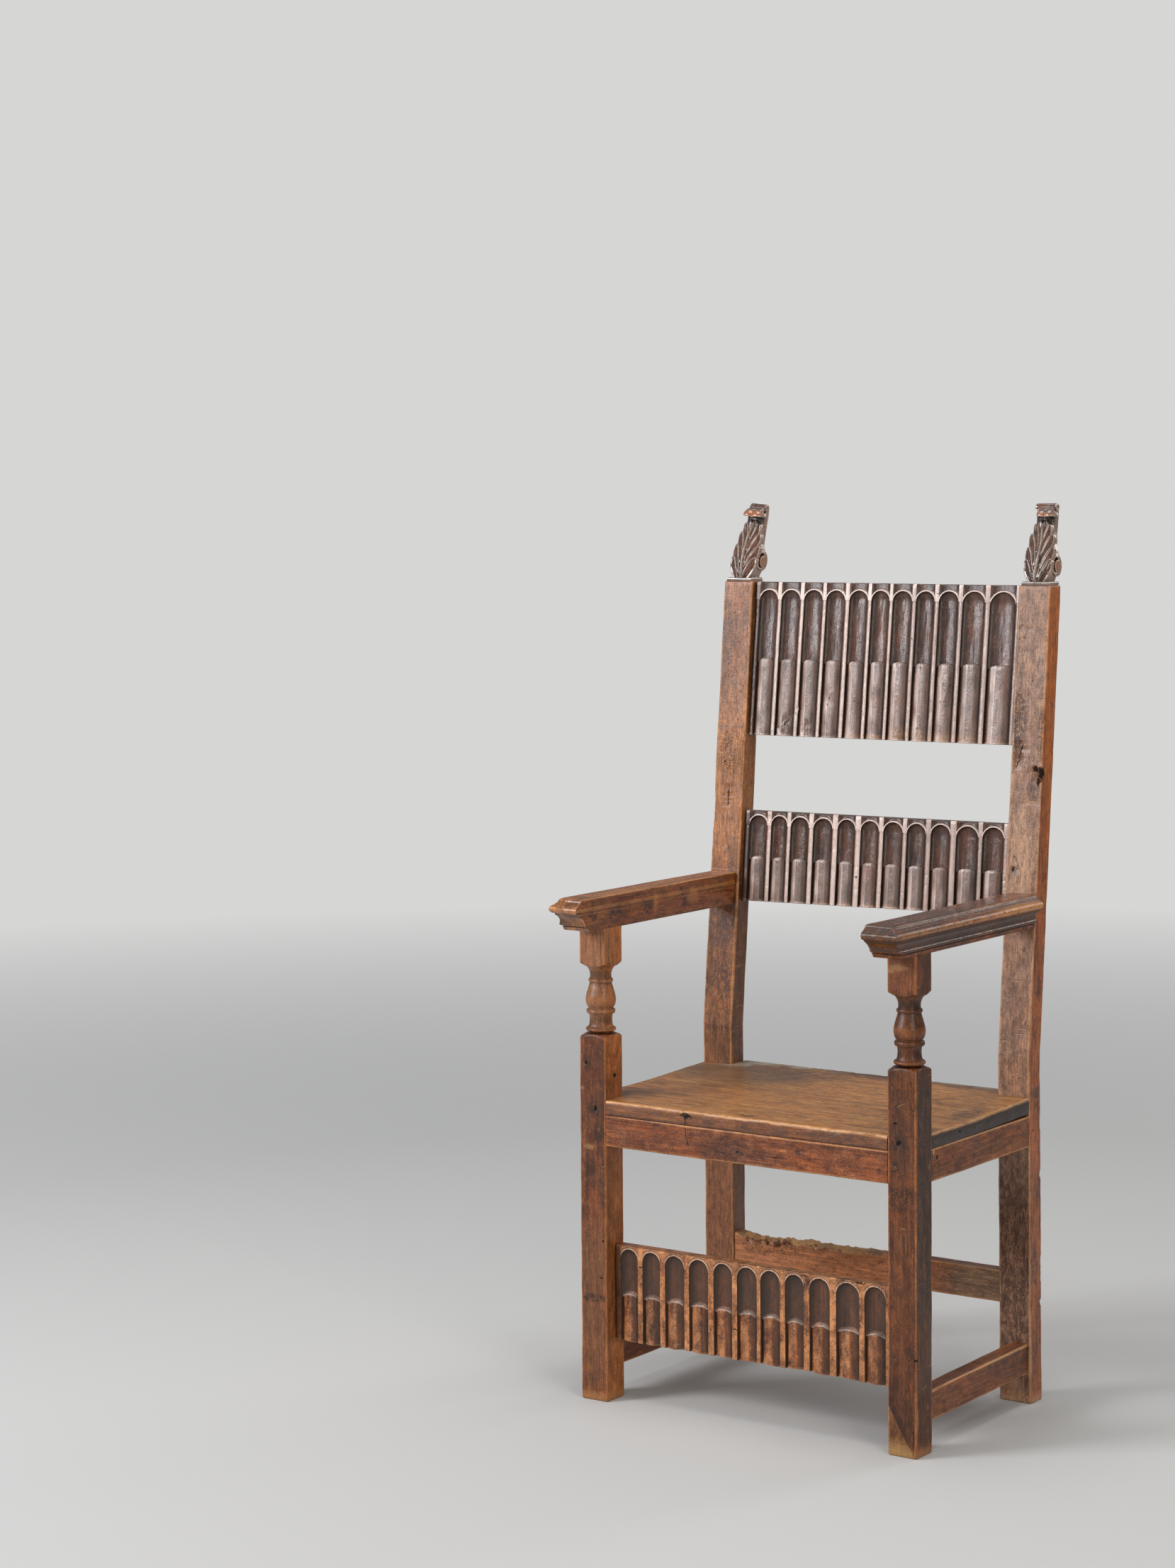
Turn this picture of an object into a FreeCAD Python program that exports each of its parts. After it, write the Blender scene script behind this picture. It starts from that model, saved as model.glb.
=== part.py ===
import FreeCAD, Part
import math
import os
from FreeCAD import Vector

# An open-armed wainscot chair in millimetres: +X to the right of someone facing it, +Y to its back, +Z up.
# While it is built, Y is zero on the front posts' front faces. At the end all of it moves along Y, so
# that the origin lies on the floor under the middle of the chair's box.

# Main sizes
frame_width = 594.0
frame_depth = 384.0
seat_height = 470.0
seat_thickness = 23.0
seat_overhang_back = 10.0
seat_edge_radius = 3.0

# Front posts: a square leg, a turned baluster and a square block under the arm
front_post_width = 48.0
front_post_depth = 47.0
square_above_seat = 99.0
turning_height = 105.0
arm_block_height = 60.0
arm_block_corner = 5.0
post_edge_radius = 1.5

# The baluster, from its foot up: shares of turning_height, and of half front_post_depth for the radius
turning_shares = [
    (0.000, 0.66), (0.035, 0.66), (0.040, 0.99), (0.085, 0.99), (0.092, 0.84), (0.115, 0.80),
    (0.150, 0.765), (0.285, 0.765), (0.300, 0.95), (0.357, 0.95), (0.366, 0.84), (0.385, 0.84),
    (0.425, 0.95), (0.490, 1.00), (0.560, 0.955), (0.640, 0.87), (0.700, 0.785), (0.745, 0.72),
    (0.760, 0.80), (0.800, 0.80), (0.812, 0.72), (0.930, 0.72), (0.965, 0.82), (1.000, 0.98),
]

# Rear posts: upright below the bend, raked above it
rear_post_width = 54.5
rear_post_depth = 37.0
rear_post_top_depth = 35.5
bend_above_seat = 66.0
back_above_seat = 784.0
top_rake = 70.0
foot_kick = 6.0

# Seat rails
rail_height = 49.0
rail_thickness = 27.0
rear_rail_setback = 6.5

# Stretchers
front_stretcher_bottom = 94.0
front_stretcher_height = 148.5
front_stretcher_thickness = 22.0
front_stretcher_setback = 20.0
side_stretcher_bottom = 45.5
side_stretcher_height = 47.5
side_stretcher_thickness = 27.5
side_stretcher_setback = 4.7
rear_stretcher_bottom = 151.0
rear_stretcher_height = 50.0
rear_stretcher_thickness = 26.0
rear_stretcher_setback = 3.0

# Carved panels of the back
crest_bottom_above_seat = 537.0
back_rail_height = 146.0
back_rail_top_above_seat = 416.0
panel_thickness = 20.0
panel_setback = 6.0

# Flutes
flute_count = 11
flute_margin = 10.0
flute_depth = 6.0
flute_rib_share = 0.24
flute_arch_drop = 12.5
flute_arch_rim = 1.6
flute_hollow_depth = 3.5
crest_cable_share = 0.51
back_cable_share = 0.50
stretcher_cable_share = 0.53
stretcher_arch_drop = 3.0

# Arms: moulded on the outer side and the front end
arm_height = 50.5
arm_side_overhang = 12.5
arm_front_reach = 75.0
arm_recess = 13.5
arm_front_undercut = 24.0
arm_tenon_height = 32.0
arm_tenon_thickness = 12.0
post_tenon_width = 22.0
post_tenon_height = 30.0

# The arm's moulding from the top down: shares of arm_height, and of arm_recess out of its deepest line
arm_top_fillet_shares = [(0.00, 0.05), (0.06, 0.05), (0.17, 0.55)]
arm_torus_shares = [(0.17, 0.62), (0.30, 1.00), (0.43, 0.62)]
arm_fillet_shares = [(0.43, 0.45), (0.50, 0.45)]
arm_cove_shares = [(0.50, 0.40), (0.61, 0.14), (0.75, 0.10)]
arm_bead_shares = [(0.75, 0.10), (0.80, 0.22), (0.85, 0.10)]
arm_quirk_shares = [(0.85, 0.00), (0.88, 0.00), (0.88, 0.08), (1.00, 0.08)]

# Finials: an S-scroll with a leaf on its front, on a thin plate
finial_height = 130.0
finial_depth = 44.0
finial_width = 46.0
finial_lean_left = 5.5
finial_lean_right = 0.5
finial_plate_height = 6.0
finial_plate_inset = 4.0
finial_eye_radius = 6.5
finial_groove_width = 2.5
finial_groove_depth = 2.0
finial_dowel_diameter = 10.0
finial_dowel_in_post = 22.0
finial_dowel_in_finial = 24.0

# The finial's side outline: shares of finial_depth from the post's front and of finial_height
finial_leaf_shares = [(0.06, 0.00), (0.00, 0.17), (0.09, 0.33)]
finial_stem_shares = [(0.09, 0.33), (0.25, 0.50), (0.45, 0.76)]
finial_lip_shares = [(0.45, 0.77), (0.28, 0.84), (0.55, 0.905)]
finial_scroll_shares = [(0.55, 0.905), (0.76, 1.00), (0.97, 0.92)]
finial_back_shares = [(0.97, 0.92), (0.90, 0.70), (0.80, 0.50), (0.84, 0.38)]
finial_volute_shares = [(0.84, 0.38), (1.00, 0.24), (0.76, 0.09)]
finial_volute_centre_shares = (0.60, 0.235)
finial_volute_radius_share = 0.375

# The finial's front outline: shares of half finial_width and of finial_height, as arcs one after another
finial_lobe_shares = [
    ((0.84, 0.00), (1.00, 0.16), (0.92, 0.30)),
    ((0.92, 0.30), (0.95, 0.42), (0.76, 0.48)),
    ((0.76, 0.48), (0.78, 0.58), (0.58, 0.66)),
    ((0.58, 0.66), (0.60, 0.72), (0.60, 0.76)),
    ((0.60, 0.76), (0.74, 0.84), (0.66, 0.90)),
]
finial_scroll_width_share = 0.66

# Joints
tenon_thickness = 10.0
panel_tenon_thickness = 9.0
panel_tenon_length = 26.0
panel_tenon_shoulder = 20.0
crest_tenon_top_shoulder = 30.0
tenon_shoulder = 5.0
stretcher_tenon_shoulder = 18.0
front_post_wall = 14.0
rear_post_wall = 12.0
mortise_web = 3.0
joint_clearance = 0.1
mortise_slack = 1.5
seat_clearance = 0.3

# Pegs
peg_diameter = 7.0
peg_clearance = 0.05
peg_length = 30.0
short_peg_length = 20.0
long_peg_length = 37.0
peg_from_shoulder = 13.0
seat_peg_diameter = 8.0
seat_peg_in_rail = 25.0
front_seat_peg_spacing = 320.0
rear_seat_peg_spacing = 280.0
side_seat_peg_spacing = 150.0

# The repair let into the right front foot: a wedge from its inner side to near its outer corner
splice_height = 75.0
splice_toe = 3.0

overrun = 40.0

# Levels and planes worked out from the sizes
half_width = frame_width / 2
post_inner = half_width - front_post_width
rear_inner = half_width - rear_post_width
rear_front = frame_depth - rear_post_depth
board_bottom = seat_height - seat_thickness
rail_bottom = board_bottom - rail_height
square_top = seat_height + square_above_seat
block_bottom = square_top + turning_height
arm_bottom = block_bottom + arm_block_height
arm_top = arm_bottom + arm_height
bend_height = seat_height + bend_above_seat
post_top = seat_height + back_above_seat
rake_run = post_top - bend_height
rake_angle = math.atan2(top_rake, rake_run)
back_rail_bottom = seat_height + back_rail_top_above_seat - back_rail_height
crest_bottom = seat_height + crest_bottom_above_seat


def block(x0, x1, y0, y1, z0, z1):
    """A box between two corners."""
    return Part.makeBox(x1 - x0, y1 - y0, z1 - z0, Vector(x0, y0, z0))


def extruded(points, direction):
    """A prism from a closed polygon."""
    wire = Part.makePolygon(points + [points[0]])
    return Part.Face(wire).extrude(direction)


def arc(a, b, c):
    """The edge of an arc through three points."""
    return Part.Arc(a, b, c).toShape()


def path(points):
    """The edges of straight runs from point to point."""
    return [Part.makeLine(a, b) for a, b in zip(points, points[1:])]


def mirrored(shape):
    """The same shape on the chair's other side."""
    return shape.mirror(Vector(0, 0, 0), Vector(1, 0, 0))


def raked(shape):
    """Leans an upright shape back with the rear posts: its Y zero goes to their front faces, its Z zero
    to the bend."""
    leaned = shape.copy()
    leaned.rotate(Vector(0, 0, 0), Vector(1, 0, 0), -math.degrees(rake_angle))
    leaned.translate(Vector(0, rear_front, bend_height))
    return leaned


def rear_face(z):
    """Y of the rear posts' front faces at height z."""
    if z < bend_height:
        return rear_front + foot_kick * (1 - z / bend_height)
    return rear_front + top_rake * (z - bend_height) / rake_run


def along_rake(z):
    """Distance from the bend to height z, measured along the raked posts."""
    return (z - bend_height) / math.cos(rake_angle)


def rear_outline(x):
    """The rear posts' side outline at X."""
    top_front = rear_face(post_top)
    return [Vector(x, rear_face(0), 0), Vector(x, rear_front, bend_height), Vector(x, top_front, post_top),
            Vector(x, top_front + rear_post_top_depth, post_top), Vector(x, frame_depth, bend_height),
            Vector(x, rear_face(0) + rear_post_depth, 0)]


def behind_rear_faces():
    """Everything behind the plane of the rear posts' front faces, to trim what butts against them."""
    x = half_width + overrun
    far = frame_depth + top_rake + overrun
    points = [Vector(-x, rear_face(0), 0), Vector(-x, rear_front, bend_height),
              Vector(-x, rear_face(post_top), post_top), Vector(-x, far, post_top), Vector(-x, far, 0)]
    return extruded(points, Vector(2 * x, 0, 0))


def tenon(x, y, z):
    """A tenon from its ranges along X, Y and Z."""
    return block(x[0], x[1], y[0], y[1], z[0], z[1])


def mortise(x, y, z, along):
    """The hole for that tenon: free on its cheeks, deeper at its tip, and open at its mouth."""
    ranges = []
    for axis, (low, high) in enumerate((x, y, z)):
        room = mortise_slack if axis == along else joint_clearance
        ranges.append((low - room, high + room))
    return block(*ranges[0], *ranges[1], *ranges[2])


def middle(centre, thickness):
    """The range of a piece about its centre."""
    return (centre - thickness / 2, centre + thickness / 2)


def cylinder(radius, start, direction, length):
    return Part.makeCylinder(radius, length, start, direction)


def peg_and_hole(diameter, start, direction, length):
    """A peg that starts flush with a face, and its hole."""
    peg = cylinder(diameter / 2, start, direction, length)
    hole_start = start - direction * overrun
    hole = cylinder(diameter / 2 + peg_clearance, hole_start, direction, length + overrun + peg_clearance)
    return peg, hole


# Joints of the right side. The left side mirrors them.

rail_tenon_z = (rail_bottom + tenon_shoulder, board_bottom - tenon_shoulder)
front_rail_tenon = dict(
    x=(post_inner, half_width - front_post_wall),
    y=middle(rail_thickness / 2, tenon_thickness), z=rail_tenon_z)
side_rail_x = middle(half_width - rail_thickness / 2, tenon_thickness)
side_tenon_front_y = (rail_thickness / 2 + tenon_thickness / 2 + mortise_web, front_post_depth)
side_rail_front_tenon = dict(x=side_rail_x, y=side_tenon_front_y, z=rail_tenon_z)
side_rail_rear_tenon = dict(x=side_rail_x, y=(rear_front, frame_depth - rear_post_wall), z=rail_tenon_z)
rear_rail_tenon = dict(
    x=(rear_inner, side_rail_x[0] - mortise_web),
    y=middle(rear_front + rear_rail_setback + rail_thickness / 2, tenon_thickness), z=rail_tenon_z)

front_stretcher_tenon = dict(
    x=(post_inner, half_width - front_post_wall),
    y=middle(front_stretcher_setback + front_stretcher_thickness / 2, panel_tenon_thickness),
    z=(front_stretcher_bottom + stretcher_tenon_shoulder,
       front_stretcher_bottom + front_stretcher_height - stretcher_tenon_shoulder))
side_stretcher_x = middle(half_width - side_stretcher_setback - side_stretcher_thickness / 2, tenon_thickness)
side_stretcher_z = (side_stretcher_bottom + tenon_shoulder,
                    side_stretcher_bottom + side_stretcher_height - tenon_shoulder)
side_stretcher_front_tenon = dict(x=side_stretcher_x, y=(front_post_wall, front_post_depth), z=side_stretcher_z)
side_stretcher_rear_tenon = dict(
    x=side_stretcher_x, y=(rear_front, frame_depth - rear_post_wall), z=side_stretcher_z)
rear_stretcher_y0 = rear_face(rear_stretcher_bottom) + rear_stretcher_setback
rear_stretcher_tenon = dict(
    x=(rear_inner, side_rail_x[0] - mortise_web),
    y=middle(rear_stretcher_y0 + rear_stretcher_thickness / 2, tenon_thickness),
    z=(rear_stretcher_bottom + tenon_shoulder, rear_stretcher_bottom + rear_stretcher_height - tenon_shoulder))

panel_tenon_x = (rear_inner, rear_inner + panel_tenon_length)
panel_tenon_y = middle(panel_setback + panel_thickness / 2, panel_tenon_thickness)
back_rail_tenon = dict(
    x=panel_tenon_x, y=panel_tenon_y,
    z=(along_rake(back_rail_bottom) + panel_tenon_shoulder,
       along_rake(back_rail_bottom + back_rail_height) - panel_tenon_shoulder))
crest_tenon = dict(
    x=panel_tenon_x, y=panel_tenon_y,
    z=(along_rake(crest_bottom) + panel_tenon_shoulder, along_rake(post_top) - crest_tenon_top_shoulder))

arm_tenon_x0 = rear_inner + panel_tenon_length + mortise_slack + mortise_web
arm_middle = (arm_bottom + arm_top) / 2
arm_face = rear_face(arm_middle)
arm_rear_tenon = dict(
    x=(arm_tenon_x0, arm_tenon_x0 + arm_tenon_thickness),
    y=(arm_face - mortise_web, arm_face + rear_post_depth - rear_post_wall),
    z=middle(arm_middle, arm_tenon_height))
post_tenon = dict(
    x=middle(half_width - front_post_width / 2, post_tenon_width),
    y=middle(front_post_depth / 2, post_tenon_width),
    z=(arm_bottom, arm_bottom + post_tenon_height))

forward = Vector(0, -1, 0)
backward = Vector(0, 1, 0)
inward = Vector(-1, 0, 0)
outward = Vector(1, 0, 0)
down = Vector(0, 0, -1)
rail_middle = (rail_tenon_z[0] + rail_tenon_z[1]) / 2
side_stretcher_middle = (side_stretcher_z[0] + side_stretcher_z[1]) / 2
rear_stretcher_middle = rear_stretcher_bottom + rear_stretcher_height / 2


def quarter_heights(low, high):
    """Heights of the two pegs of a tall tenon."""
    return (low + (high - low) / 4, high - (high - low) / 4)


def front_pegs():
    """Pegs driven from the front into the front rail's and front stretcher's right tenons."""
    x = post_inner + peg_from_shoulder
    pairs = [peg_and_hole(peg_diameter, Vector(x, 0, rail_middle), backward, short_peg_length)]
    for height in quarter_heights(*front_stretcher_tenon["z"]):
        pairs.append(peg_and_hole(peg_diameter, Vector(x, 0, height), backward, long_peg_length))
    return pairs


def side_front_pegs():
    """Pegs driven from the right side into the front ends of the side rail and side stretcher."""
    pairs = []
    for height in (rail_middle, side_stretcher_middle):
        start = Vector(half_width, front_post_depth - peg_from_shoulder, height)
        pairs.append(peg_and_hole(peg_diameter, start, inward, peg_length))
    return pairs


def side_rear_pegs():
    """Pegs driven from the right side into the rear ends of the side rail and side stretcher."""
    pairs = []
    for height, joint in ((rail_middle, side_rail_rear_tenon),
                          (side_stretcher_middle, side_stretcher_rear_tenon)):
        start = Vector(half_width, rear_face(height) + peg_from_shoulder, height)
        length = half_width - joint["x"][0] + mortise_web / 2
        pairs.append(peg_and_hole(peg_diameter, start, inward, length))
    return pairs


def rear_pegs():
    """Pegs driven from behind into the rear rail's and rear stretcher's right tenons."""
    x = rear_inner + peg_from_shoulder
    pairs = []
    for height in (rail_middle, rear_stretcher_middle):
        start = Vector(x, rear_face(height) + rear_post_depth, height)
        pairs.append(peg_and_hole(peg_diameter, start, forward, peg_length))
    return pairs


def back_pegs():
    """Pegs driven from the front into the carved panels' right tenons, square to the raked post."""
    x = rear_inner + peg_from_shoulder
    pairs = []
    for joint in (back_rail_tenon, crest_tenon):
        for height in quarter_heights(*joint["z"]):
            peg, hole = peg_and_hole(peg_diameter, Vector(x, 0, height), backward, peg_length)
            pairs.append((raked(peg), raked(hole)))
    return pairs


def arm_post_pegs():
    """The peg driven from the right into the arm's rear tenon."""
    start = Vector(half_width, arm_face + peg_from_shoulder, arm_middle)
    length = half_width - arm_tenon_x0 + mortise_web / 2
    return [peg_and_hole(peg_diameter, start, inward, length)]


def arm_front_pegs():
    """The peg driven from the arm's plain inner side into the front post's top tenon."""
    start = Vector(post_inner, front_post_depth / 2, arm_bottom + post_tenon_height / 2)
    return [peg_and_hole(peg_diameter, start, outward, peg_length + mortise_web)]


def seat_pegs():
    """Upright pegs through the board into the rails."""
    x_side = half_width - rail_thickness / 2
    y_side = (front_post_depth + rear_front) / 2
    places = [(way * front_seat_peg_spacing / 2, rail_thickness / 2) for way in (-1, 1)]
    places += [(way * rear_seat_peg_spacing / 2, rear_front + rear_rail_setback + rail_thickness / 2)
               for way in (-1, 1)]
    places += [(side * x_side, y_side + way * side_seat_peg_spacing / 2) for side in (-1, 1) for way in (-1, 1)]
    length = seat_thickness + seat_peg_in_rail
    return [peg_and_hole(seat_peg_diameter, Vector(x, y, seat_height), down, length) for x, y in places]


def pegs(pairs):
    return [peg for peg, _ in pairs]


def holes(pairs):
    return [hole for _, hole in pairs]


def without(shape, cutters):
    """The shape less each of the cutters."""
    return shape.cut(cutters).removeSplitter()


# Front posts

def turned(shares, z0, height, radius):
    """A solid of revolution about the front post's axis."""
    points = [Vector(share_r * radius, 0, z0 + share_z * height) for share_z, share_r in shares]
    points = [Vector(0, 0, points[0].z)] + points + [Vector(0, 0, points[-1].z)]
    face = Part.Face(Part.makePolygon(points + [points[0]]))
    solid = face.revolve(Vector(0, 0, 0), Vector(0, 0, 1), 360)
    solid.translate(Vector(half_width - front_post_width / 2, front_post_depth / 2, 0))
    return solid


def square_part(z0, z1, turned_end, way):
    """A square length of post, with its corners turned off where it meets the baluster."""
    solid = block(post_inner, half_width, 0, front_post_depth, z0, z1)
    uprights = [edge for edge in solid.Edges if abs(edge.Vertexes[0].Z - edge.Vertexes[1].Z) > (z1 - z0) / 2]
    solid = solid.makeFillet(post_edge_radius, uprights)
    small = front_post_depth / 2
    large = math.hypot(front_post_width, front_post_depth) / 2
    far = large + overrun
    slope_end = turned_end - way * arm_block_corner
    square_end = z0 if way > 0 else z1
    points = [Vector(0, 0, turned_end), Vector(small, 0, turned_end), Vector(large, 0, slope_end),
              Vector(far, 0, slope_end), Vector(far, 0, square_end), Vector(0, 0, square_end)]
    envelope = Part.Face(Part.makePolygon(points + [points[0]])).revolve(Vector(0, 0, 0), Vector(0, 0, 1), 360)
    envelope.translate(Vector(half_width - front_post_width / 2, front_post_depth / 2, 0))
    return solid.common(envelope)


def front_post():
    """The right front post, without the foot repair."""
    leg = square_part(0, square_top, square_top, 1)
    baluster = turned(turning_shares, square_top, turning_height, front_post_depth / 2)
    arm_block = square_part(block_bottom, arm_bottom, block_bottom, -1)
    solid = leg.fuse([baluster, arm_block, tenon(**post_tenon)])
    cutters = [mortise(**front_rail_tenon, along=0), mortise(**side_rail_front_tenon, along=1),
               mortise(**front_stretcher_tenon, along=0),
               mortise(**side_stretcher_front_tenon, along=1)]
    return without(solid, cutters + holes(front_pegs() + side_front_pegs() + arm_front_pegs()))


def splice_wedge():
    """The space of the repair in the right front foot."""
    y = -splice_toe
    points = [Vector(post_inner - splice_toe, y, 0), Vector(half_width - splice_toe, y, 0),
              Vector(post_inner, y, splice_height), Vector(post_inner - splice_toe, y, splice_height)]
    return extruded(points, Vector(0, front_post_depth + 2 * splice_toe, 0))


# Rear posts

def rear_post():
    """The right rear post."""
    solid = extruded(rear_outline(rear_inner), Vector(rear_post_width, 0, 0))
    cutters = [mortise(**side_rail_rear_tenon, along=1), mortise(**rear_rail_tenon, along=0),
               mortise(**side_stretcher_rear_tenon, along=1),
               mortise(**rear_stretcher_tenon, along=0), mortise(**arm_rear_tenon, along=1),
               raked(mortise(**back_rail_tenon, along=0)), raked(mortise(**crest_tenon, along=0)),
               finial_dowel_hole()]
    pairs = side_rear_pegs() + rear_pegs() + back_pegs() + arm_post_pegs()
    return without(solid, cutters + holes(pairs))


# Rails and stretchers

def both_ends(joint):
    """A right-hand tenon and its mirror image."""
    solid = tenon(**joint)
    return [solid, mirrored(solid)]


def both_sides(pairs):
    """The holes of right-hand pegs and of the left-hand ones."""
    return holes(pairs) + [mirrored(hole) for hole in holes(pairs)]


def front_seat_rail():
    solid = block(-post_inner, post_inner, 0, rail_thickness, rail_bottom, board_bottom)
    solid = solid.fuse(both_ends(front_rail_tenon))
    return without(solid, both_sides(front_pegs()) + holes(seat_pegs()))


def rear_seat_rail():
    y0 = rear_front + rear_rail_setback
    solid = block(-rear_inner, rear_inner, y0, y0 + rail_thickness, rail_bottom, board_bottom)
    solid = solid.fuse(both_ends(rear_rail_tenon))
    return without(solid, both_sides(rear_pegs()) + holes(seat_pegs()))


def side_bar(x0, x1, z0, z1, front_joint, rear_joint):
    """A bar between the right posts, its rear shoulder cut to the rear post's slope."""
    bar = block(x0, x1, front_post_depth, frame_depth, z0, z1).cut(behind_rear_faces())
    return bar.fuse([tenon(**front_joint), tenon(**rear_joint)])


def side_seat_rail():
    solid = side_bar(half_width - rail_thickness, half_width, rail_bottom, board_bottom,
                     side_rail_front_tenon, side_rail_rear_tenon)
    return without(solid, holes(side_front_pegs() + side_rear_pegs() + seat_pegs()))


def side_stretcher():
    x1 = half_width - side_stretcher_setback
    solid = side_bar(x1 - side_stretcher_thickness, x1, side_stretcher_bottom,
                     side_stretcher_bottom + side_stretcher_height,
                     side_stretcher_front_tenon, side_stretcher_rear_tenon)
    return without(solid, holes(side_front_pegs() + side_rear_pegs()))


def rear_stretcher():
    y0 = rear_stretcher_y0
    solid = block(-rear_inner, rear_inner, y0, y0 + rear_stretcher_thickness,
                  rear_stretcher_bottom, rear_stretcher_bottom + rear_stretcher_height)
    solid = solid.fuse(both_ends(rear_stretcher_tenon))
    return without(solid, both_sides(rear_pegs()))


# Carved panels. Each is cut while upright: its face at Y zero, its bottom edge at Z zero.

def flute_cutter(width, spring, cable_top):
    """What is carved away for one flute: a hollow under a round arch, stopped by a raised cable."""
    radius = (width * width / 4 + flute_depth * flute_depth) / (2 * flute_depth)
    axis = Vector(0, flute_depth - radius, 0)
    up = Vector(0, 0, 1)
    groove = cylinder(radius, axis - up * overrun, up, spring + overrun)
    dome = Part.makeSphere(radius, axis + up * spring)
    slot = block(-width / 2, width / 2, -overrun, flute_depth, -overrun, cable_top - width / 2)
    rod = cylinder(radius, Vector(0, radius, -overrun - overrun), up,
                   cable_top + 2 * overrun)
    arch = block(-width / 2, width / 2, -overrun, 2 * radius, -overrun - overrun, cable_top - width / 2)
    arch_centre = Vector(0, -overrun, cable_top - width / 2)
    arch = arch.fuse(cylinder(width / 2, arch_centre, backward, 2 * radius + overrun))
    return groove.fuse([dome, slot]).cut(rod.common(arch))


def hollow_cutter(width, spring, top):
    """The shallow hollow over one flute's arch, up to the panel's top edge."""
    radius = (width * width / 4 + flute_hollow_depth * flute_hollow_depth) / (2 * flute_hollow_depth)
    up = Vector(0, 0, 1)
    hollow = cylinder(radius, Vector(0, flute_hollow_depth - radius, spring), up, top - spring + overrun)
    rim = cylinder(width / 2 + flute_arch_rim, Vector(0, -2 * radius, spring), backward, 4 * radius)
    return hollow.cut(rim)


def fluted(panel, width, height, cable_share, arch_drop, hollowed):
    """Cuts the row of flutes into an upright panel."""
    pitch = (width - 2 * flute_margin) / flute_count
    flute = pitch * (1 - flute_rib_share)
    spring = height - arch_drop - flute / 2
    cutters = []
    for index in range(flute_count):
        x = (index - (flute_count - 1) / 2) * pitch
        one = [flute_cutter(flute, spring, height * cable_share)]
        if hollowed:
            one.append(hollow_cutter(flute, spring, height))
        for cutter in one:
            cutter.translate(Vector(x, 0, 0))
            cutters.append(cutter)
    return panel.cut(cutters)


def back_panel(bottom, height, cable_share, joint, trim_top):
    """A carved panel between the rear posts, in the raked posts' own upright frame."""
    low = along_rake(bottom)
    extra = panel_thickness if trim_top else 0
    blank = block(-rear_inner, rear_inner, 0, panel_thickness, 0, height + extra)
    carved = fluted(blank, 2 * rear_inner, height, cable_share, flute_arch_drop, True)
    carved.translate(Vector(0, panel_setback, low))
    solid = raked(carved.fuse(both_ends(joint)))
    if trim_top:
        far = frame_depth + top_rake + overrun
        solid = solid.cut(block(-half_width, half_width, 0, far, post_top, post_top + far))
    return without(solid, both_sides(back_pegs()))


def crest_rail():
    height = along_rake(post_top) - along_rake(crest_bottom)
    return back_panel(crest_bottom, height, crest_cable_share, crest_tenon, True)


def back_rail():
    height = along_rake(back_rail_bottom + back_rail_height) - along_rake(back_rail_bottom)
    return back_panel(back_rail_bottom, height, back_cable_share, back_rail_tenon, False)


def front_stretcher():
    blank = block(-post_inner, post_inner, 0, front_stretcher_thickness, 0, front_stretcher_height)
    carved = fluted(blank, 2 * post_inner, front_stretcher_height, stretcher_cable_share,
                    stretcher_arch_drop, False)
    carved.translate(Vector(0, front_stretcher_setback, front_stretcher_bottom))
    solid = carved.fuse(both_ends(front_stretcher_tenon))
    return without(solid, both_sides(front_pegs()))


# Seat board, notched round the four posts

def seat_board():
    board = block(-half_width, half_width, 0, frame_depth + seat_overhang_back, board_bottom, seat_height)
    top_edges = [edge for edge in board.Edges if edge.BoundBox.ZMin > board_bottom + seat_thickness / 2
                 and edge.BoundBox.YMax < rear_front]
    board = board.makeFillet(seat_edge_radius, top_edges)
    far = half_width + overrun
    front_notch = block(post_inner - seat_clearance, far, -overrun, front_post_depth + seat_clearance,
                        board_bottom - overrun, seat_height + overrun)
    rear_notch = block(rear_inner - seat_clearance, far, rear_front - seat_clearance, frame_depth + 2 * overrun,
                       board_bottom - overrun, seat_height + overrun)
    notches = [front_notch, mirrored(front_notch), rear_notch, mirrored(rear_notch)]
    return without(board, notches + holes(seat_pegs()))


# Arms

def arm_out(share):
    """Recession of a moulding line from the torus's tip."""
    return arm_recess * (1 - share)


def side_point(share_down, share_out):
    """A point of the moulding on the arm's outer side."""
    x = half_width + arm_side_overhang - arm_out(share_out)
    return Vector(x, 0, arm_top - share_down * arm_height)


def front_point(share_down, share_out):
    """A point of the moulding on the arm's front end, undercut below the torus."""
    below = max(0, share_down - arm_torus_shares[-1][0]) / (1 - arm_torus_shares[-1][0])
    y = -arm_front_reach + arm_out(share_out) + arm_front_undercut * below
    return Vector(0, y, arm_top - share_down * arm_height)


def moulding_edges(point):
    """The moulding's edges from the arm's top to its underside, on one of its two faces."""
    edges = []
    runs = [arm_top_fillet_shares, arm_torus_shares, arm_fillet_shares, arm_cove_shares, arm_bead_shares,
            arm_quirk_shares]
    last = None
    for run in runs:
        points = [point(*share) for share in run]
        if last is not None and (points[0] - last).Length > joint_clearance:
            edges.append(Part.makeLine(last, points[0]))
        if run in (arm_torus_shares, arm_cove_shares, arm_bead_shares):
            edges.append(arc(*points))
        else:
            edges += path(points)
        last = points[-1]
    return edges, last


def moulded_prism(point, inner_corner_top, inner_corner_bottom, direction):
    """The prism of the moulding on one face, closed along the arm's far side."""
    edges, last = moulding_edges(point)
    first = edges[0].Vertexes[0].Point
    edges += path([last, inner_corner_bottom, inner_corner_top, first])
    return Part.Face(Part.Wire(Part.__sortEdges__(edges))).extrude(direction)


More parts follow.
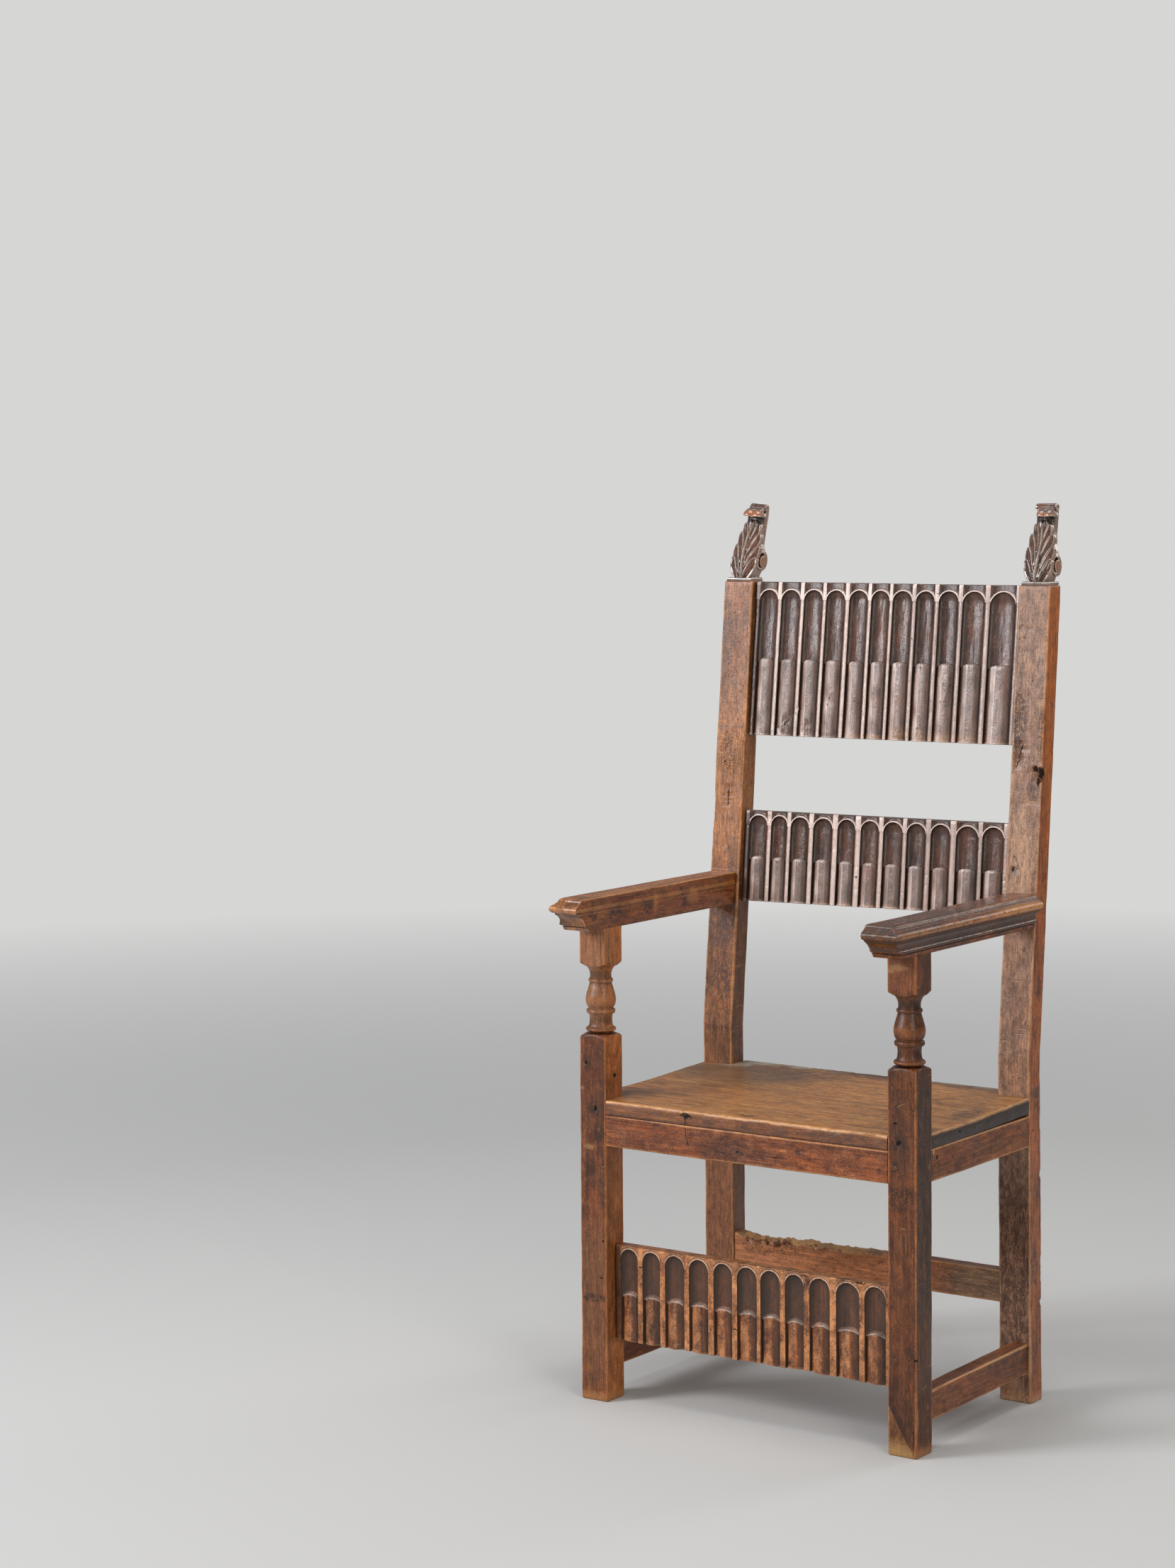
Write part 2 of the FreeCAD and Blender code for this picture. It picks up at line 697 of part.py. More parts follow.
def arm():
    """The right arm: its two mouldings meet in a mitre at the front corner."""
    far = rear_face(arm_top) + overrun
    along = moulded_prism(side_point, Vector(post_inner, 0, arm_top), Vector(post_inner, 0, arm_bottom),
                          Vector(0, far + arm_front_reach + overrun, 0))
    along.translate(Vector(0, -arm_front_reach - overrun, 0))
    across = moulded_prism(front_point, Vector(0, far, arm_top), Vector(0, far, arm_bottom),
                           Vector(half_width + 2 * overrun, 0, 0))
    solid = along.common(across).cut(behind_rear_faces())
    solid = solid.fuse(tenon(**arm_rear_tenon))
    cutters = [mortise(**post_tenon, along=2)]
    return without(solid, cutters + holes(arm_front_pegs() + arm_post_pegs()))


# Finials

def finial_side(share_depth, share_height):
    """A point of the finial's side outline, in the raked posts' upright frame."""
    return Vector(0, share_depth * finial_depth, along_rake(post_top) + share_height * finial_height)


def finial_front(share_width, share_height):
    """A point of the finial's front outline, in the same frame."""
    return Vector(share_width * finial_width / 2, 0, along_rake(post_top) + share_height * finial_height)


def finial_side_face():
    points = [finial_side(*share) for share in finial_leaf_shares]
    edges = [arc(*points)]
    edges.append(arc(*[finial_side(*share) for share in finial_stem_shares]))
    edges += path([finial_side(*finial_stem_shares[-1]), finial_side(*finial_lip_shares[0])])
    edges.append(arc(*[finial_side(*share) for share in finial_lip_shares]))
    edges.append(arc(*[finial_side(*share) for share in finial_scroll_shares]))
    back = Part.BSplineCurve()
    back.interpolate([finial_side(*share) for share in finial_back_shares])
    edges.append(back.toShape())
    edges.append(arc(*[finial_side(*share) for share in finial_volute_shares]))
    low = Vector(0, 0, -finial_plate_height)
    toe = finial_side(finial_volute_shares[-1][0], 0)
    edges += path([finial_side(*finial_volute_shares[-1]), toe + low, points[0] + low, points[0]])
    return Part.Face(Part.Wire(Part.__sortEdges__(edges)))


def finial_front_face():
    low = Vector(0, 0, -finial_plate_height)
    right = []
    for lobe in finial_lobe_shares:
        right.append(arc(*[finial_front(*share) for share in lobe]))
    left = [mirrored(edge) for edge in right]
    foot = finial_front(*finial_lobe_shares[0][0])
    neck = finial_front(*finial_lobe_shares[-1][-1])
    top = finial_front(finial_scroll_width_share, 1 + finial_plate_height / finial_height)
    across = [Vector(-point.x, point.y, point.z) for point in (foot, neck, top)]
    edges = right + left + path([neck, top, across[2], across[1]])
    edges += path([foot, foot + low, across[0] + low, across[0]])
    return Part.Face(Part.Wire(Part.__sortEdges__(edges)))


def volute_grooves():
    """The scroll line cut into the finial's side faces, round a raised eye."""
    depth_share, height_share = finial_volute_centre_shares
    centre = finial_side(depth_share, height_share)
    outer = finial_volute_radius_share * finial_depth
    grooves = []
    for way in (-1, 1):
        start = centre + Vector(way * finial_width / 2, 0, 0)
        start += Vector(-way * finial_groove_depth, 0, 0)
        for radius in (finial_eye_radius, outer - finial_groove_width):
            ring = cylinder(radius + finial_groove_width, start, Vector(way, 0, 0), overrun)
            grooves.append(ring.cut(cylinder(radius, start, Vector(way, 0, 0), overrun)))
    return grooves


def finial_dowel_spot():
    """The middle of the rear post's top."""
    return Vector(half_width - rear_post_width / 2, rear_face(post_top) + rear_post_top_depth / 2, post_top)


def finial_dowel():
    start = finial_dowel_spot() - Vector(0, 0, finial_dowel_in_post)
    length = finial_dowel_in_post + finial_dowel_in_finial
    return cylinder(finial_dowel_diameter / 2, start, Vector(0, 0, 1), length)


def finial_dowel_hole():
    start = finial_dowel_spot() - Vector(0, 0, finial_dowel_in_post + peg_clearance)
    return cylinder(finial_dowel_diameter / 2 + peg_clearance, start, Vector(0, 0, 1),
                    finial_dowel_in_post + finial_dowel_in_finial + 2 * peg_clearance)


def finial(lean):
    """A right-hand finial that leans towards the chair's middle by some degrees."""
    middle_x = half_width - rear_post_width / 2
    side = finial_side_face().extrude(Vector(finial_width + overrun, 0, 0))
    side.translate(Vector(-(finial_width + overrun) / 2, 0, 0))
    front = finial_front_face().extrude(Vector(0, finial_depth + 2 * overrun, 0))
    front.translate(Vector(0, -overrun, 0))
    body = raked(side.common(front).cut(volute_grooves()))
    body.translate(Vector(middle_x, 0, 0))
    body.rotate(Vector(middle_x, 0, post_top), Vector(0, 1, 0), -lean)
    far = frame_depth + top_rake + 2 * overrun
    above = block(0, half_width + overrun, 0, far, post_top, post_top + 2 * finial_height)
    y0 = rear_face(post_top)
    plate = block(half_width - rear_post_width + finial_plate_inset, half_width - finial_plate_inset,
                  y0, y0 + rear_post_top_depth, post_top, post_top + finial_plate_height)
    upper = [edge for edge in plate.Edges if edge.BoundBox.ZMin > post_top + finial_plate_height / 2]
    plate = plate.makeFillet(finial_plate_height / 3, upper)
    return without(body.common(above).fuse(plate), [finial_dowel_hole()])


# All pieces by name. The right-hand ones are made first, and the left-hand ones mirror them.

def build():
    nodes = {}
    right_post = front_post()
    wedge = splice_wedge()
    nodes["front_post_left"] = mirrored(right_post)
    nodes["front_post_right"] = right_post.cut(wedge)
    nodes["foot_splice"] = right_post.common(wedge)
    sided = {"rear_post": rear_post(), "side_seat_rail": side_seat_rail(), "side_stretcher": side_stretcher(),
             "arm": arm()}
    for name, solid in sided.items():
        nodes[name + "_left"] = mirrored(solid)
        nodes[name + "_right"] = solid
    nodes["finial_left"] = mirrored(finial(finial_lean_left))
    nodes["finial_right"] = finial(finial_lean_right)
    nodes["front_seat_rail"] = front_seat_rail()
    nodes["rear_seat_rail"] = rear_seat_rail()
    nodes["front_stretcher"] = front_stretcher()
    nodes["rear_stretcher"] = rear_stretcher()
    nodes["back_rail"] = back_rail()
    nodes["crest_rail"] = crest_rail()
    nodes["seat_board"] = seat_board()
    groups = {"front_frame_pegs": front_pegs(), "side_frame_pegs": side_front_pegs() + side_rear_pegs(),
              "back_frame_pegs": rear_pegs() + back_pegs(), "arm_pegs": arm_post_pegs() + arm_front_pegs()}
    for name, pairs in groups.items():
        right = pegs(pairs)
        nodes[name] = Part.makeCompound(right + [mirrored(peg) for peg in right])
    nodes["seat_pegs"] = Part.makeCompound(pegs(seat_pegs()))
    nodes["finial_dowels"] = Part.makeCompound([finial_dowel(), mirrored(finial_dowel())])
    return nodes


def main():
    nodes = build()
    box = Part.makeCompound(list(nodes.values())).optimalBoundingBox()
    shift = Vector(0, -(box.YMin + box.YMax) / 2, 0)
    os.makedirs("parts", exist_ok=True)
    for name, shape in nodes.items():
        shape.translate(shift)
        shape.exportStep(os.path.join("parts", name + ".step"))
        print(name, "solids", len(shape.Solids), "valid", shape.isValid(), "volume", round(shape.Volume))
    sizes = [round(size, 2) for size in (box.XLength, box.YLength, box.ZLength)]
    print("box", *sizes, "moved along Y by", round(shift.y, 3))


main()
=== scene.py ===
import math
from types import SimpleNamespace

import bmesh
import bpy
import numpy as np
from mathutils import Matrix, Vector


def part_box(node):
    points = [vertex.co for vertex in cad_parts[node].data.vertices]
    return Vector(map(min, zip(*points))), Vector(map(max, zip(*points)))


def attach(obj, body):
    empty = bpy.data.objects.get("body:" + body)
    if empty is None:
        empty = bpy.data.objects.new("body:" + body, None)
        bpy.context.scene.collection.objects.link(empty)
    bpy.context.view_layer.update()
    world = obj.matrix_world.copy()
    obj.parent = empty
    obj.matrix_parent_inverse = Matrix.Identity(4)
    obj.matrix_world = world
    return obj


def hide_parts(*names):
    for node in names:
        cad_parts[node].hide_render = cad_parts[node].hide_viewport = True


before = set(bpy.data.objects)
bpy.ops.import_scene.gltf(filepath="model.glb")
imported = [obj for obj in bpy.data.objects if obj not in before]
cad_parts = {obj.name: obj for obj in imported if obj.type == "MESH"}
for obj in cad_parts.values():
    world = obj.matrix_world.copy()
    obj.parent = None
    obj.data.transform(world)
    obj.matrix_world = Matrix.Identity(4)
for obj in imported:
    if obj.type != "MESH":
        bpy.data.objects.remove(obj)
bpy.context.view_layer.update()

# Lengths below are millimetres. Y is measured from the front posts' front faces until a mesh is made.
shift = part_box("front_post_left")[0].y * 1000

# Levels and planes of the frame, as in the solids
half_width = 297.0
post_inner = 249.0
rear_inner = 242.5
post_depth = 47.0
rear_front = 347.0
rear_depth = 37.0
seat_back = 394.0
seat_top = 470.0
board_bottom = 447.0
rail_bottom = 398.0
square_top = 569.0
turning = 105.0
block_bottom = 674.0
arm_bottom = 734.0
arm_top = 784.5
bend = 536.0
post_top = 1254.0
splay_run = 6.0
rake_run = 70.0


def rear_face(z):
    """Y of the rear posts' front faces at height z: a slight splay to the foot and a rake above the bend."""
    z = np.asarray(z, float)
    below = rear_front + splay_run * (1 - z / bend)
    return np.where(z < bend, below, rear_front + rake_run * (z - bend) / (post_top - bend))


# Noise and meshes

def lattice(cell, seed):
    """A repeatable number from -1 to 1 for each whole-number point."""
    n = cell.astype(np.int64)
    h = n[..., 0] * 73856093 ^ n[..., 1] * 19349663 ^ n[..., 2] * 83492791 ^ (seed + 7) * 2654435761
    h = h & 0xFFFFFFFF
    h = (h ^ (h >> 15)) * 2246822519 & 0xFFFFFFFF
    h = (h ^ (h >> 13)) * 3266489917 & 0xFFFFFFFF
    h ^= h >> 16
    return h / 0x7FFFFFFF - 1


def noise(points, scale, seed=0, stretch=(1, 1, 1)):
    """Smooth noise from -1 to 1, its features about scale long, times stretch along each axis."""
    p = points / (scale * np.array(stretch, float))
    cell = np.floor(p)
    f = p - cell
    f = f * f * (3 - 2 * f)
    total = 0.0
    for corner in np.ndindex(2, 2, 2):
        c = np.array(corner)
        total = total + np.prod(np.where(c, f, 1 - f), axis=-1) * lattice(cell + c, seed)
    return total


def wobble(x, scale, seed):
    """Smooth noise along one line."""
    x = np.asarray(x, float)
    return noise(np.stack([x, x * 0 + 0.5, x * 0 + 0.5], -1), scale, seed)


def ease(x, low, high):
    """0 below low, 1 above high, smooth between."""
    t = np.clip((np.asarray(x, float) - low) / (high - low), 0, 1)
    return t * t * (3 - 2 * t)


def blob(points, centre, size):
    """1 at a centre, falling to 0 at its size along each axis."""
    d = (points - np.array(centre, float)) / np.array(size, float)
    return np.clip(1 - (d * d).sum(-1), 0, 1)


def make(name, points, faces, material, nodes, marks=None, sharp=45):
    """Makes one piece of the chair from points in millimetres."""
    mesh = bpy.data.meshes.new(name)
    points = np.column_stack([points[:, 0], points[:, 1], np.maximum(points[:, 2], 0.0)])
    mesh.from_pydata(((points + (0, shift, 0)) / 1000).tolist(), [], [list(f) for f in faces])
    for key in ("wear_and_highlight", "grime", "dust"):
        values = (marks or {}).get(key)
        if values is None:
            values = np.zeros(len(points))
        layer = mesh.attributes.new(key, "FLOAT", "POINT")
        layer.data.foreach_set("value", np.clip(values, 0, 1).astype(np.float32).ravel())
    bm = bmesh.new()
    bm.from_mesh(mesh)
    bmesh.ops.remove_doubles(bm, verts=bm.verts, dist=1e-6)
    bmesh.ops.recalc_face_normals(bm, faces=bm.faces)
    bm.to_mesh(mesh)
    bm.free()
    mesh.shade_smooth()
    mesh.set_sharp_from_angle(angle=math.radians(sharp))
    mesh.materials.append(material)
    piece = bpy.data.objects.new(name, mesh)
    bpy.context.scene.collection.objects.link(piece)
    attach(piece, "root")
    if nodes:
        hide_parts(*nodes)
    return piece


def lofted(rings):
    """Faces of a closed tube through rings of points, with a face over each end."""
    count, around = rings.shape[:2]
    index = np.arange(count * around).reshape(count, around)
    after = np.roll(index, -1, axis=1)
    quads = np.stack([index[:-1], after[:-1], after[1:], index[1:]], -1).reshape(-1, 4).tolist()
    return quads + [index[0][::-1].tolist(), index[-1].tolist()]


def out_of(rings):
    """Outward directions at the points of a tube of rings."""
    around = np.roll(rings, -1, axis=1) - np.roll(rings, 1, axis=1)
    along = np.gradient(rings, axis=0)
    n = np.cross(around, along)
    return n / np.maximum(np.linalg.norm(n, axis=-1, keepdims=True), 1e-9)


def levels_between(start, stop, step, ends, extra=()):
    """Places of rings from start to stop, closer at the rounded ends."""
    size = stop - start
    inner = np.linspace(start + ends[0], stop - ends[1], max(2, int(size / step)))
    low = [start, start + ends[0] * 0.13, start + ends[0] * 0.45]
    high = [stop - ends[1] * 0.45, stop - ends[1] * 0.13, stop]
    return np.unique(np.round(np.concatenate([low, inner, high, list(extra)]), 4))


def end_inset(levels, ends):
    """How far a piece draws in near its rounded ends."""
    inset = np.zeros_like(levels)
    for radius, d in ((ends[0], levels - levels[0]), (ends[1], levels[-1] - levels)):
        if radius > 0:
            near = np.clip(radius - d, 0, radius)
            inset = np.maximum(inset, radius - np.sqrt(radius * radius - near * near))
    return inset


def section_rings(levels, u0, u1, v0, v1, radii, sides=(9, 9), corner=5):
    """Rings round a rectangle with rounded corners. radii has a column for each corner."""
    arcs = []
    for k, (cu, cv, su, sv) in enumerate(((u1, v0, 1, -1), (u1, v1, 1, 1), (u0, v1, -1, 1),
            (u0, v0, -1, -1))):
        angles = np.radians(-90 + 90 * k + 90 * np.linspace(0, 1, corner + 1))[None, :]
        r = radii[:, k][:, None]
        arcs.append(np.stack([(cu[:, None] - su * r) + r * np.cos(angles),
                              (cv[:, None] - sv * r) + r * np.sin(angles)], -1))
    parts, edge = [], []
    for k in range(4):
        side = sides[k % 2]
        t = ((1 - np.cos(np.pi * np.arange(1, side + 1) / (side + 1))) / 2)[None, :, None]
        a, b = arcs[k][:, -1:], arcs[(k + 1) % 4][:, :1]
        parts += [arcs[k], a + (b - a) * t]
        edge += [1.0] * (corner + 1) + [0.0] * side
    flat = np.concatenate(parts, 1)
    along = np.broadcast_to(levels[:, None, None], flat.shape[:2] + (1,))
    return np.concatenate([flat, along], -1), np.array(edge)


ORDERS = {"z": (0, 1, 2), "x": (2, 0, 1), "y": (1, 2, 0)}


def timber(name, axis, levels, u, v, material, nodes, seed, radius=1.6, worn=0.9, ends=(1.2, 1.2),
           sides=(9, 9), limit=None, shape=None, dents=0.25, bow=0.4, finish=True, losses=()):
    """A bar of wood along an axis: its long edges worn unevenly, its faces a little out of true.
    Along Z its section is X by Y, along X it is Y by Z, and along Y it is Z by X."""
    n = len(levels)
    u0, u1, v0, v1 = [np.broadcast_to(np.asarray(x(levels) if callable(x) else x, float),
        (n,)) for x in (*u, *v)]
    inset = end_inset(levels, ends)
    radii = np.stack([radius + worn * (0.5 + 0.5 * wobble(levels, 70,
        seed + k)) + worn * 0.8 * np.clip(wobble(levels, 17, seed + 20 + k) - 0.35, 0,
        1) for k in range(4)], -1)
    rings, edge = section_rings(levels, u0 + inset, u1 - inset, v0 + inset, v1 - inset, radii, sides)
    edge = np.broadcast_to(edge, rings.shape[:2]).copy()
    if limit is not None:
        centre = np.array([(u0[0] + u1[0]) / 2, (v0[0] + v1[0]) / 2])
        offset = rings[..., :2] - centre
        reach = np.linalg.norm(offset, axis=-1)
        keep = np.minimum(1, limit[:, None] / np.maximum(reach, 1e-9))
        rings[..., :2] = centre + offset * keep[..., None]
        edge = np.where(keep < 0.9999, edge * 0.15, edge)
    rings = rings[..., list(ORDERS[axis])]
    out = out_of(rings)
    flat = rings.reshape(-1, 3)
    stretch = [1.0, 1.0, 1.0]
    stretch["xyz".index(axis)] = 4.0
    push = dents * noise(flat, 9, seed + 40, stretch) + 0.5 * dents * noise(flat, 3.4, seed + 41, stretch)
    push += bow * 0.5 * noise(flat, 60, seed + 42, stretch)
    nick = np.clip(noise(flat, 6, seed + 43) - 0.45, 0, 1) * 2.2 * edge.ravel()
    push = push.reshape(edge.shape) - 0.22 * abs(dents) * 4 * nick.reshape(edge.shape) - 0.12
    if limit is not None:
        push = np.where(limit[:, None] < 1000, push * 0.45, push)
    for *place, deep in losses:
        near = blob(rings, place[:3], place[3:]) ** 0.6
        push = push - deep * near * (0.75 + 0.5 * noise(flat, 3.5, seed + 45).reshape(edge.shape))
    rings = rings + out * push[..., None]
    wear_and_highlight = edge * (0.75 + 0.25 * noise(flat, 30, seed + 44).reshape(edge.shape))
    grime = np.zeros_like(wear_and_highlight)
    if shape is not None:
        rings, wear_and_highlight, grime = shape(rings, wear_and_highlight, grime)
    marks = {"wear_and_highlight": wear_and_highlight.ravel(), "grime": grime.ravel()}
    if not finish:
        return rings, marks
    return make(name, rings.reshape(-1, 3), lofted(rings), material, nodes, marks)


def slab(us, vs, keep, levels, place):
    """Points and faces of a closed solid over the kept cells of a grid. place(u, v, level) gives points:
    level 0 is its face and 1 its back."""
    grid_u, grid_v = np.meshgrid(us, vs, indexing="ij")
    shape = grid_u.shape
    used = np.zeros(shape, bool)
    for a in (0, 1):
        for b in (0, 1):
            used[a:shape[0] - 1 + a, b:shape[1] - 1 + b] |= keep
    padded = np.pad(keep, 1)
    edges = []
    i, j = np.nonzero(padded[1:-1, :-1] != padded[1:-1, 1:])
    edges.append(np.stack([i, j, i + 1, j], -1))
    i, j = np.nonzero(padded[:-1, 1:-1] != padded[1:, 1:-1])
    edges.append(np.stack([i, j, i, j + 1], -1))
    edges = np.concatenate(edges)
    rim = np.zeros(shape, bool)
    rim[edges[:, 0], edges[:, 1]] = True
    rim[edges[:, 2], edges[:, 3]] = True
    points, tables, start, level_of = [], [], 0, []
    for level in levels:
        which = used if level in (0, 1) else rim
        table = np.full(shape, -1)
        table[which] = start + np.arange(which.sum())
        start += which.sum()
        tables.append(table)
        points.append(place(grid_u[which], grid_v[which], level))
        level_of.append(np.full(which.sum(), level))
    i, j = np.nonzero(keep)
    faces = []
    for table in (tables[0], tables[-1]):
        faces.append(np.stack([table[i, j], table[i + 1, j], table[i + 1, j + 1], table[i, j + 1]], -1))
    for low, high in zip(tables, tables[1:]):
        a, b = (edges[:, 0], edges[:, 1]), (edges[:, 2], edges[:, 3])
        faces.append(np.stack([low[a], low[b], high[b], high[a]], -1))
    return np.concatenate(points), np.concatenate(faces).tolist(), np.concatenate(level_of)


# Materials

def rgb(r, g, b):
    """A colour from its usual 0 to 255 numbers, as the shader wants it."""
    shares = [c / 255 for c in (r, g, b)]
    return tuple(c / 12.92 if c <= 10 / 255 else ((c + 0.055) / 1.055) ** 2.4 for c in shares) + (1.0,)


class Value:
    """A number or colour on its way through a tree of nodes. Arithmetic on it adds math nodes."""

    def __init__(self, tree, socket):
        self.tree = tree
        self.socket = socket

    def __add__(self, other):
        return self.tree.math("ADD", self, other)

    def __sub__(self, other):
        return self.tree.math("SUBTRACT", self, other)

    def __rsub__(self, other):
        return self.tree.math("SUBTRACT", other, self)

    def __mul__(self, other):
        return self.tree.math("MULTIPLY", self, other)


class Tree:
    """Short calls that build the nodes of a material or of the world."""

    def __init__(self, owner):
        owner.use_nodes = True
        self.tree = owner.node_tree
        self.tree.nodes.clear()

    def node(self, kind, out=0, inputs=None, **settings):
        made = self.tree.nodes.new("ShaderNode" + kind)
        for key, value in settings.items():
            setattr(made, key, value)
        for key, value in (inputs or {}).items():
            if isinstance(value, Value):
                self.tree.links.new(value.socket, made.inputs[key])
            else:
                made.inputs[key].default_value = value
        return Value(self, made.outputs[out])

    def finish(self, kind, shader):
        final = self.tree.nodes.new("ShaderNode" + kind)
        self.tree.links.new(shader.socket, final.inputs[0])

    def math(self, operation, a, b=0.0, c=0.0):
        return self.node("Math", operation=operation, inputs={0: a, 1: b, 2: c})

    def mix(self, factor, a, b, mode="MIX"):
        return self.node("Mix", out=2, data_type="RGBA", blend_type=mode, inputs={0: factor, 6: a, 7: b})

    def fit(self, value, low, high, a=0.0, b=1.0):
        return self.node("MapRange", inputs={0: value, 1: low, 2: high, 3: a, 4: b})

    def length(self, vector):
        return self.node("VectorMath", out="Value", operation="LENGTH", inputs={0: vector})

    def noise(self, vector, detail, rough, distortion=0.0):
        return self.node("TexNoise", inputs={"Vector": vector, "Scale": 1.0, "Detail": detail,
                                             "Roughness": rough, "Distortion": distortion})

    def mapped(self, vector, scale, offset=(0, 0, 0), turn=(0, 0, 0)):
        return self.node("Mapping", inputs={"Vector": vector, "Location": offset, "Rotation": turn,
                                            "Scale": scale})

    def attribute(self, name):
        return self.node("Attribute", out="Fac", attribute_name=name)

    def ramp(self, value, stops):
        made = self.node("ValToRGB", inputs={0: value})
        elements = made.socket.node.color_ramp.elements
        while len(elements) < len(stops):
            elements.new(0.5)
        for element, (position, colour) in zip(elements, stops):
            element.position = position
            element.color = colour
        return made


def along_scale(axis, across, along):
    """A noise's scale along X, Y and Z, from those across and along the grain."""
    scale = [across] * 3
    scale["xyz".index(axis)] = along
    return scale


def masks(t, here, marks):
    """The strongest of some marks at each point: ellipsoids given by centre, half sizes and turn."""
    total = None
    for x, y, z, a, b, c, *turn in marks:
        local = t.node("Mapping", vector_type="TEXTURE", inputs={
            "Vector": here, "Location": (x / 1000, (y + shift) / 1000, z / 1000),
            "Scale": (a / 1000, b / 1000, c / 1000), "Rotation": turn[0] if turn else (0, 0, 0)})
        inside = 1.0 - t.length(local)
        total = inside if total is None else t.math("MAXIMUM", total, inside)
    return t.math("MAXIMUM", total, 0.0)


# front and side, with their strengths, paint light and shade by which way a face looks; tint_patch makes it
# uneven.
USUAL = dict(rough=(0.30, 0.50), coat=0.2, coat_rough=0.28, gloss=0.35, bump=1.0, grain=(52, 3.0),
    fibres=1.0, streaks=0.45, micro=0.8, mottled=0.7, tinge=(1.05, 0.94, 0.76, 1), stain=rgb(58, 38, 32),
    stained=0.55, warm=rgb(150, 84, 46), warmed=0.4, grime=rgb(40, 31, 28), dust=rgb(176, 164, 148),
    patchy=0.25, flecks=0.0, pits=0.0, front=None, fronted=0.0, side=None, sided=0.0, side_dark=0.0,
    tint_patch=0.0, washes=(), holes=(), worm=(), pale=(), pale_tone=None, dark=())

FIELDS = {  # a noise's scale across and along the grain, detail, roughness, distortion and order of offsets
    "fibre": (560, 16, 3.0, 0.62, 0.0, (0, 1, 2)),
    "streak": (230, 7, 3.0, 0.6, 0.4, (2, 0, 1)),
    "pores": (1500, 80, 1.0, 0.5, 0.0, (0, 1, 2)),
    "large": (17, 8, 6.0, 0.66, 0.5, (0, 1, 2)),
    "other": (26, 12, 6.0, 0.66, 0.5, (1, 2, 0)),
    "cloud": (46, 46, 5.0, 0.65, 0.3, (0, 1, 2)),
    "grit": (430, 430, 3.0, 0.7, 0.0, (0, 1, 2)),
    "fine": (1300, 420, 2.0, 0.7, 0.0, (0, 1, 2)),
    "mottle": (150, 62, 6.0, 0.72, 0.6, (1, 0, 2))}

GRAIN = (  # a noise, the setting for its strength, and the tones that it multiplies the colour by
    ("fibre", "fibres", [(0.3, (0.62, 0.59, 0.57, 1)), (0.7, (1.24, 1.23, 1.21, 1))]),
    ("streak", "streaks", [(0.34, (0.38, 0.33, 0.31, 1)), (0.46, (0.95, 0.94, 0.94, 1)),
                           (0.56, (1.04, 1.04, 1.04, 1)), (0.68, (1.42, 1.36, 1.28, 1))]),
    ("fine", "micro", [(0.34, (0.60, 0.56, 0.53, 1)), (0.66, (1.36, 1.34, 1.30, 1))]),
    ("mottle", "mottled", [(0.36, (0.50, 0.45, 0.42, 1)), (0.47, (0.92, 0.90, 0.88, 1)),
                           (0.54, (1.04, 1.03, 1.01, 1)), (0.66, (1.42, 1.34, 1.22, 1))]))


def field(t, look, across, along, detail, rough, distortion, order=(0, 1, 2)):
    """A noise that is drawn out along the grain."""
    offset = [look.offset[k] for k in order]
    return t.noise(t.mapped(look.here, along_scale(look.axis, across, along), offset), detail, rough,
        distortion)


def body_colour(t, look):
    """Bands of three tones along the grain, with warm and stained patches."""
    bands = field(t, look, *look.grain, 5.0, 0.62, 0.8)
    colour = t.ramp(bands * 0.65 + look.cloud * 0.35, list(zip((0.36, 0.50, 0.64), look.tones)))
    colour = t.mix(t.fit(look.other + look.speck, 0.49, 0.60) * look.warmed, colour, look.warm)
    return t.mix(t.fit(look.large + look.speck, 0.53, 0.63) * look.stained, colour, look.stain)


def facing_light_and_washes(t, look, colour):
    """Painted light and shade: a tone on the faces that look right and one on those that look forwards, set
    by which way a face looks, and washes over parts of a piece.
    """
    facing = t.node("NewGeometry", out="Normal")
    # Right-facing faces: a lighter tone on some pieces and a darker one on others, with streaks of stain,
    # paint light and shade on that side.
    if look.side is not None:
        right = t.fit(t.node("SeparateXYZ", out=0, inputs={0: facing}), 0.5, 0.95)
        uneven = t.fit(look.large + look.speck, 0.42, 0.58, look.sided, look.sided * (1 - look.tint_patch))
        colour = t.mix(right * uneven, colour, look.side)
        broken = t.fit(look.streak * 0.6 + (look.large * 0.4 + look.speck), 0.50, 0.58)
        colour = t.mix(broken * look.side_dark * right, colour, look.stain)
    # Forward-facing faces: a pale grey tone paints a sheen, a dark one paints shade.
    if look.front is not None:
        ahead = t.fit(t.node("SeparateXYZ", out=1, inputs={0: facing}), -0.6, -0.97)
        weakest = look.fronted * (1 - look.tint_patch) * 0.7
        colour = t.mix(ahead * t.fit(look.cloud + look.speck, 0.38, 0.62, weakest, look.fronted), colour,
            look.front)
    # Each wash lays a tone over part of a piece: mostly the wood's own tone; a few are painted light and
    # painted sheen, noted where they are set.
    for marks, tone, strength in look.washes:
        spread = masks(t, look.here, marks) + (look.speck + (look.cloud - 0.5) * 0.5)
        colour = t.mix(t.fit(spread, 0.0, 0.45, 0.0, strength), colour, tone)
    return colour


def marked(t, look, colour):
    """Pale rubbed places and dark stained ones; a few of the pale ones are painted highlights and a few of
    the dark ones painted shadows.
    """
    if look.pale:
        spread = masks(t, look.here, look.pale) + (look.grit - 0.5) * 0.7
        colour = t.mix(t.fit(spread, 0.15, 0.60, 0.0, 0.6), colour, look.pale_tone or look.edge)
    if look.dark:
        spread = masks(t, look.here, look.dark) + (look.cloud - 0.5) * 0.6 + look.speck * 1.4
        ragged = t.fit(look.mottle + look.speck, 0.56, 0.44, 0.3, 1.0)
        colour = t.mix(t.fit(spread, 0.05, 0.42, 0.0, 0.85) * ragged, colour, look.stain)
    return colour


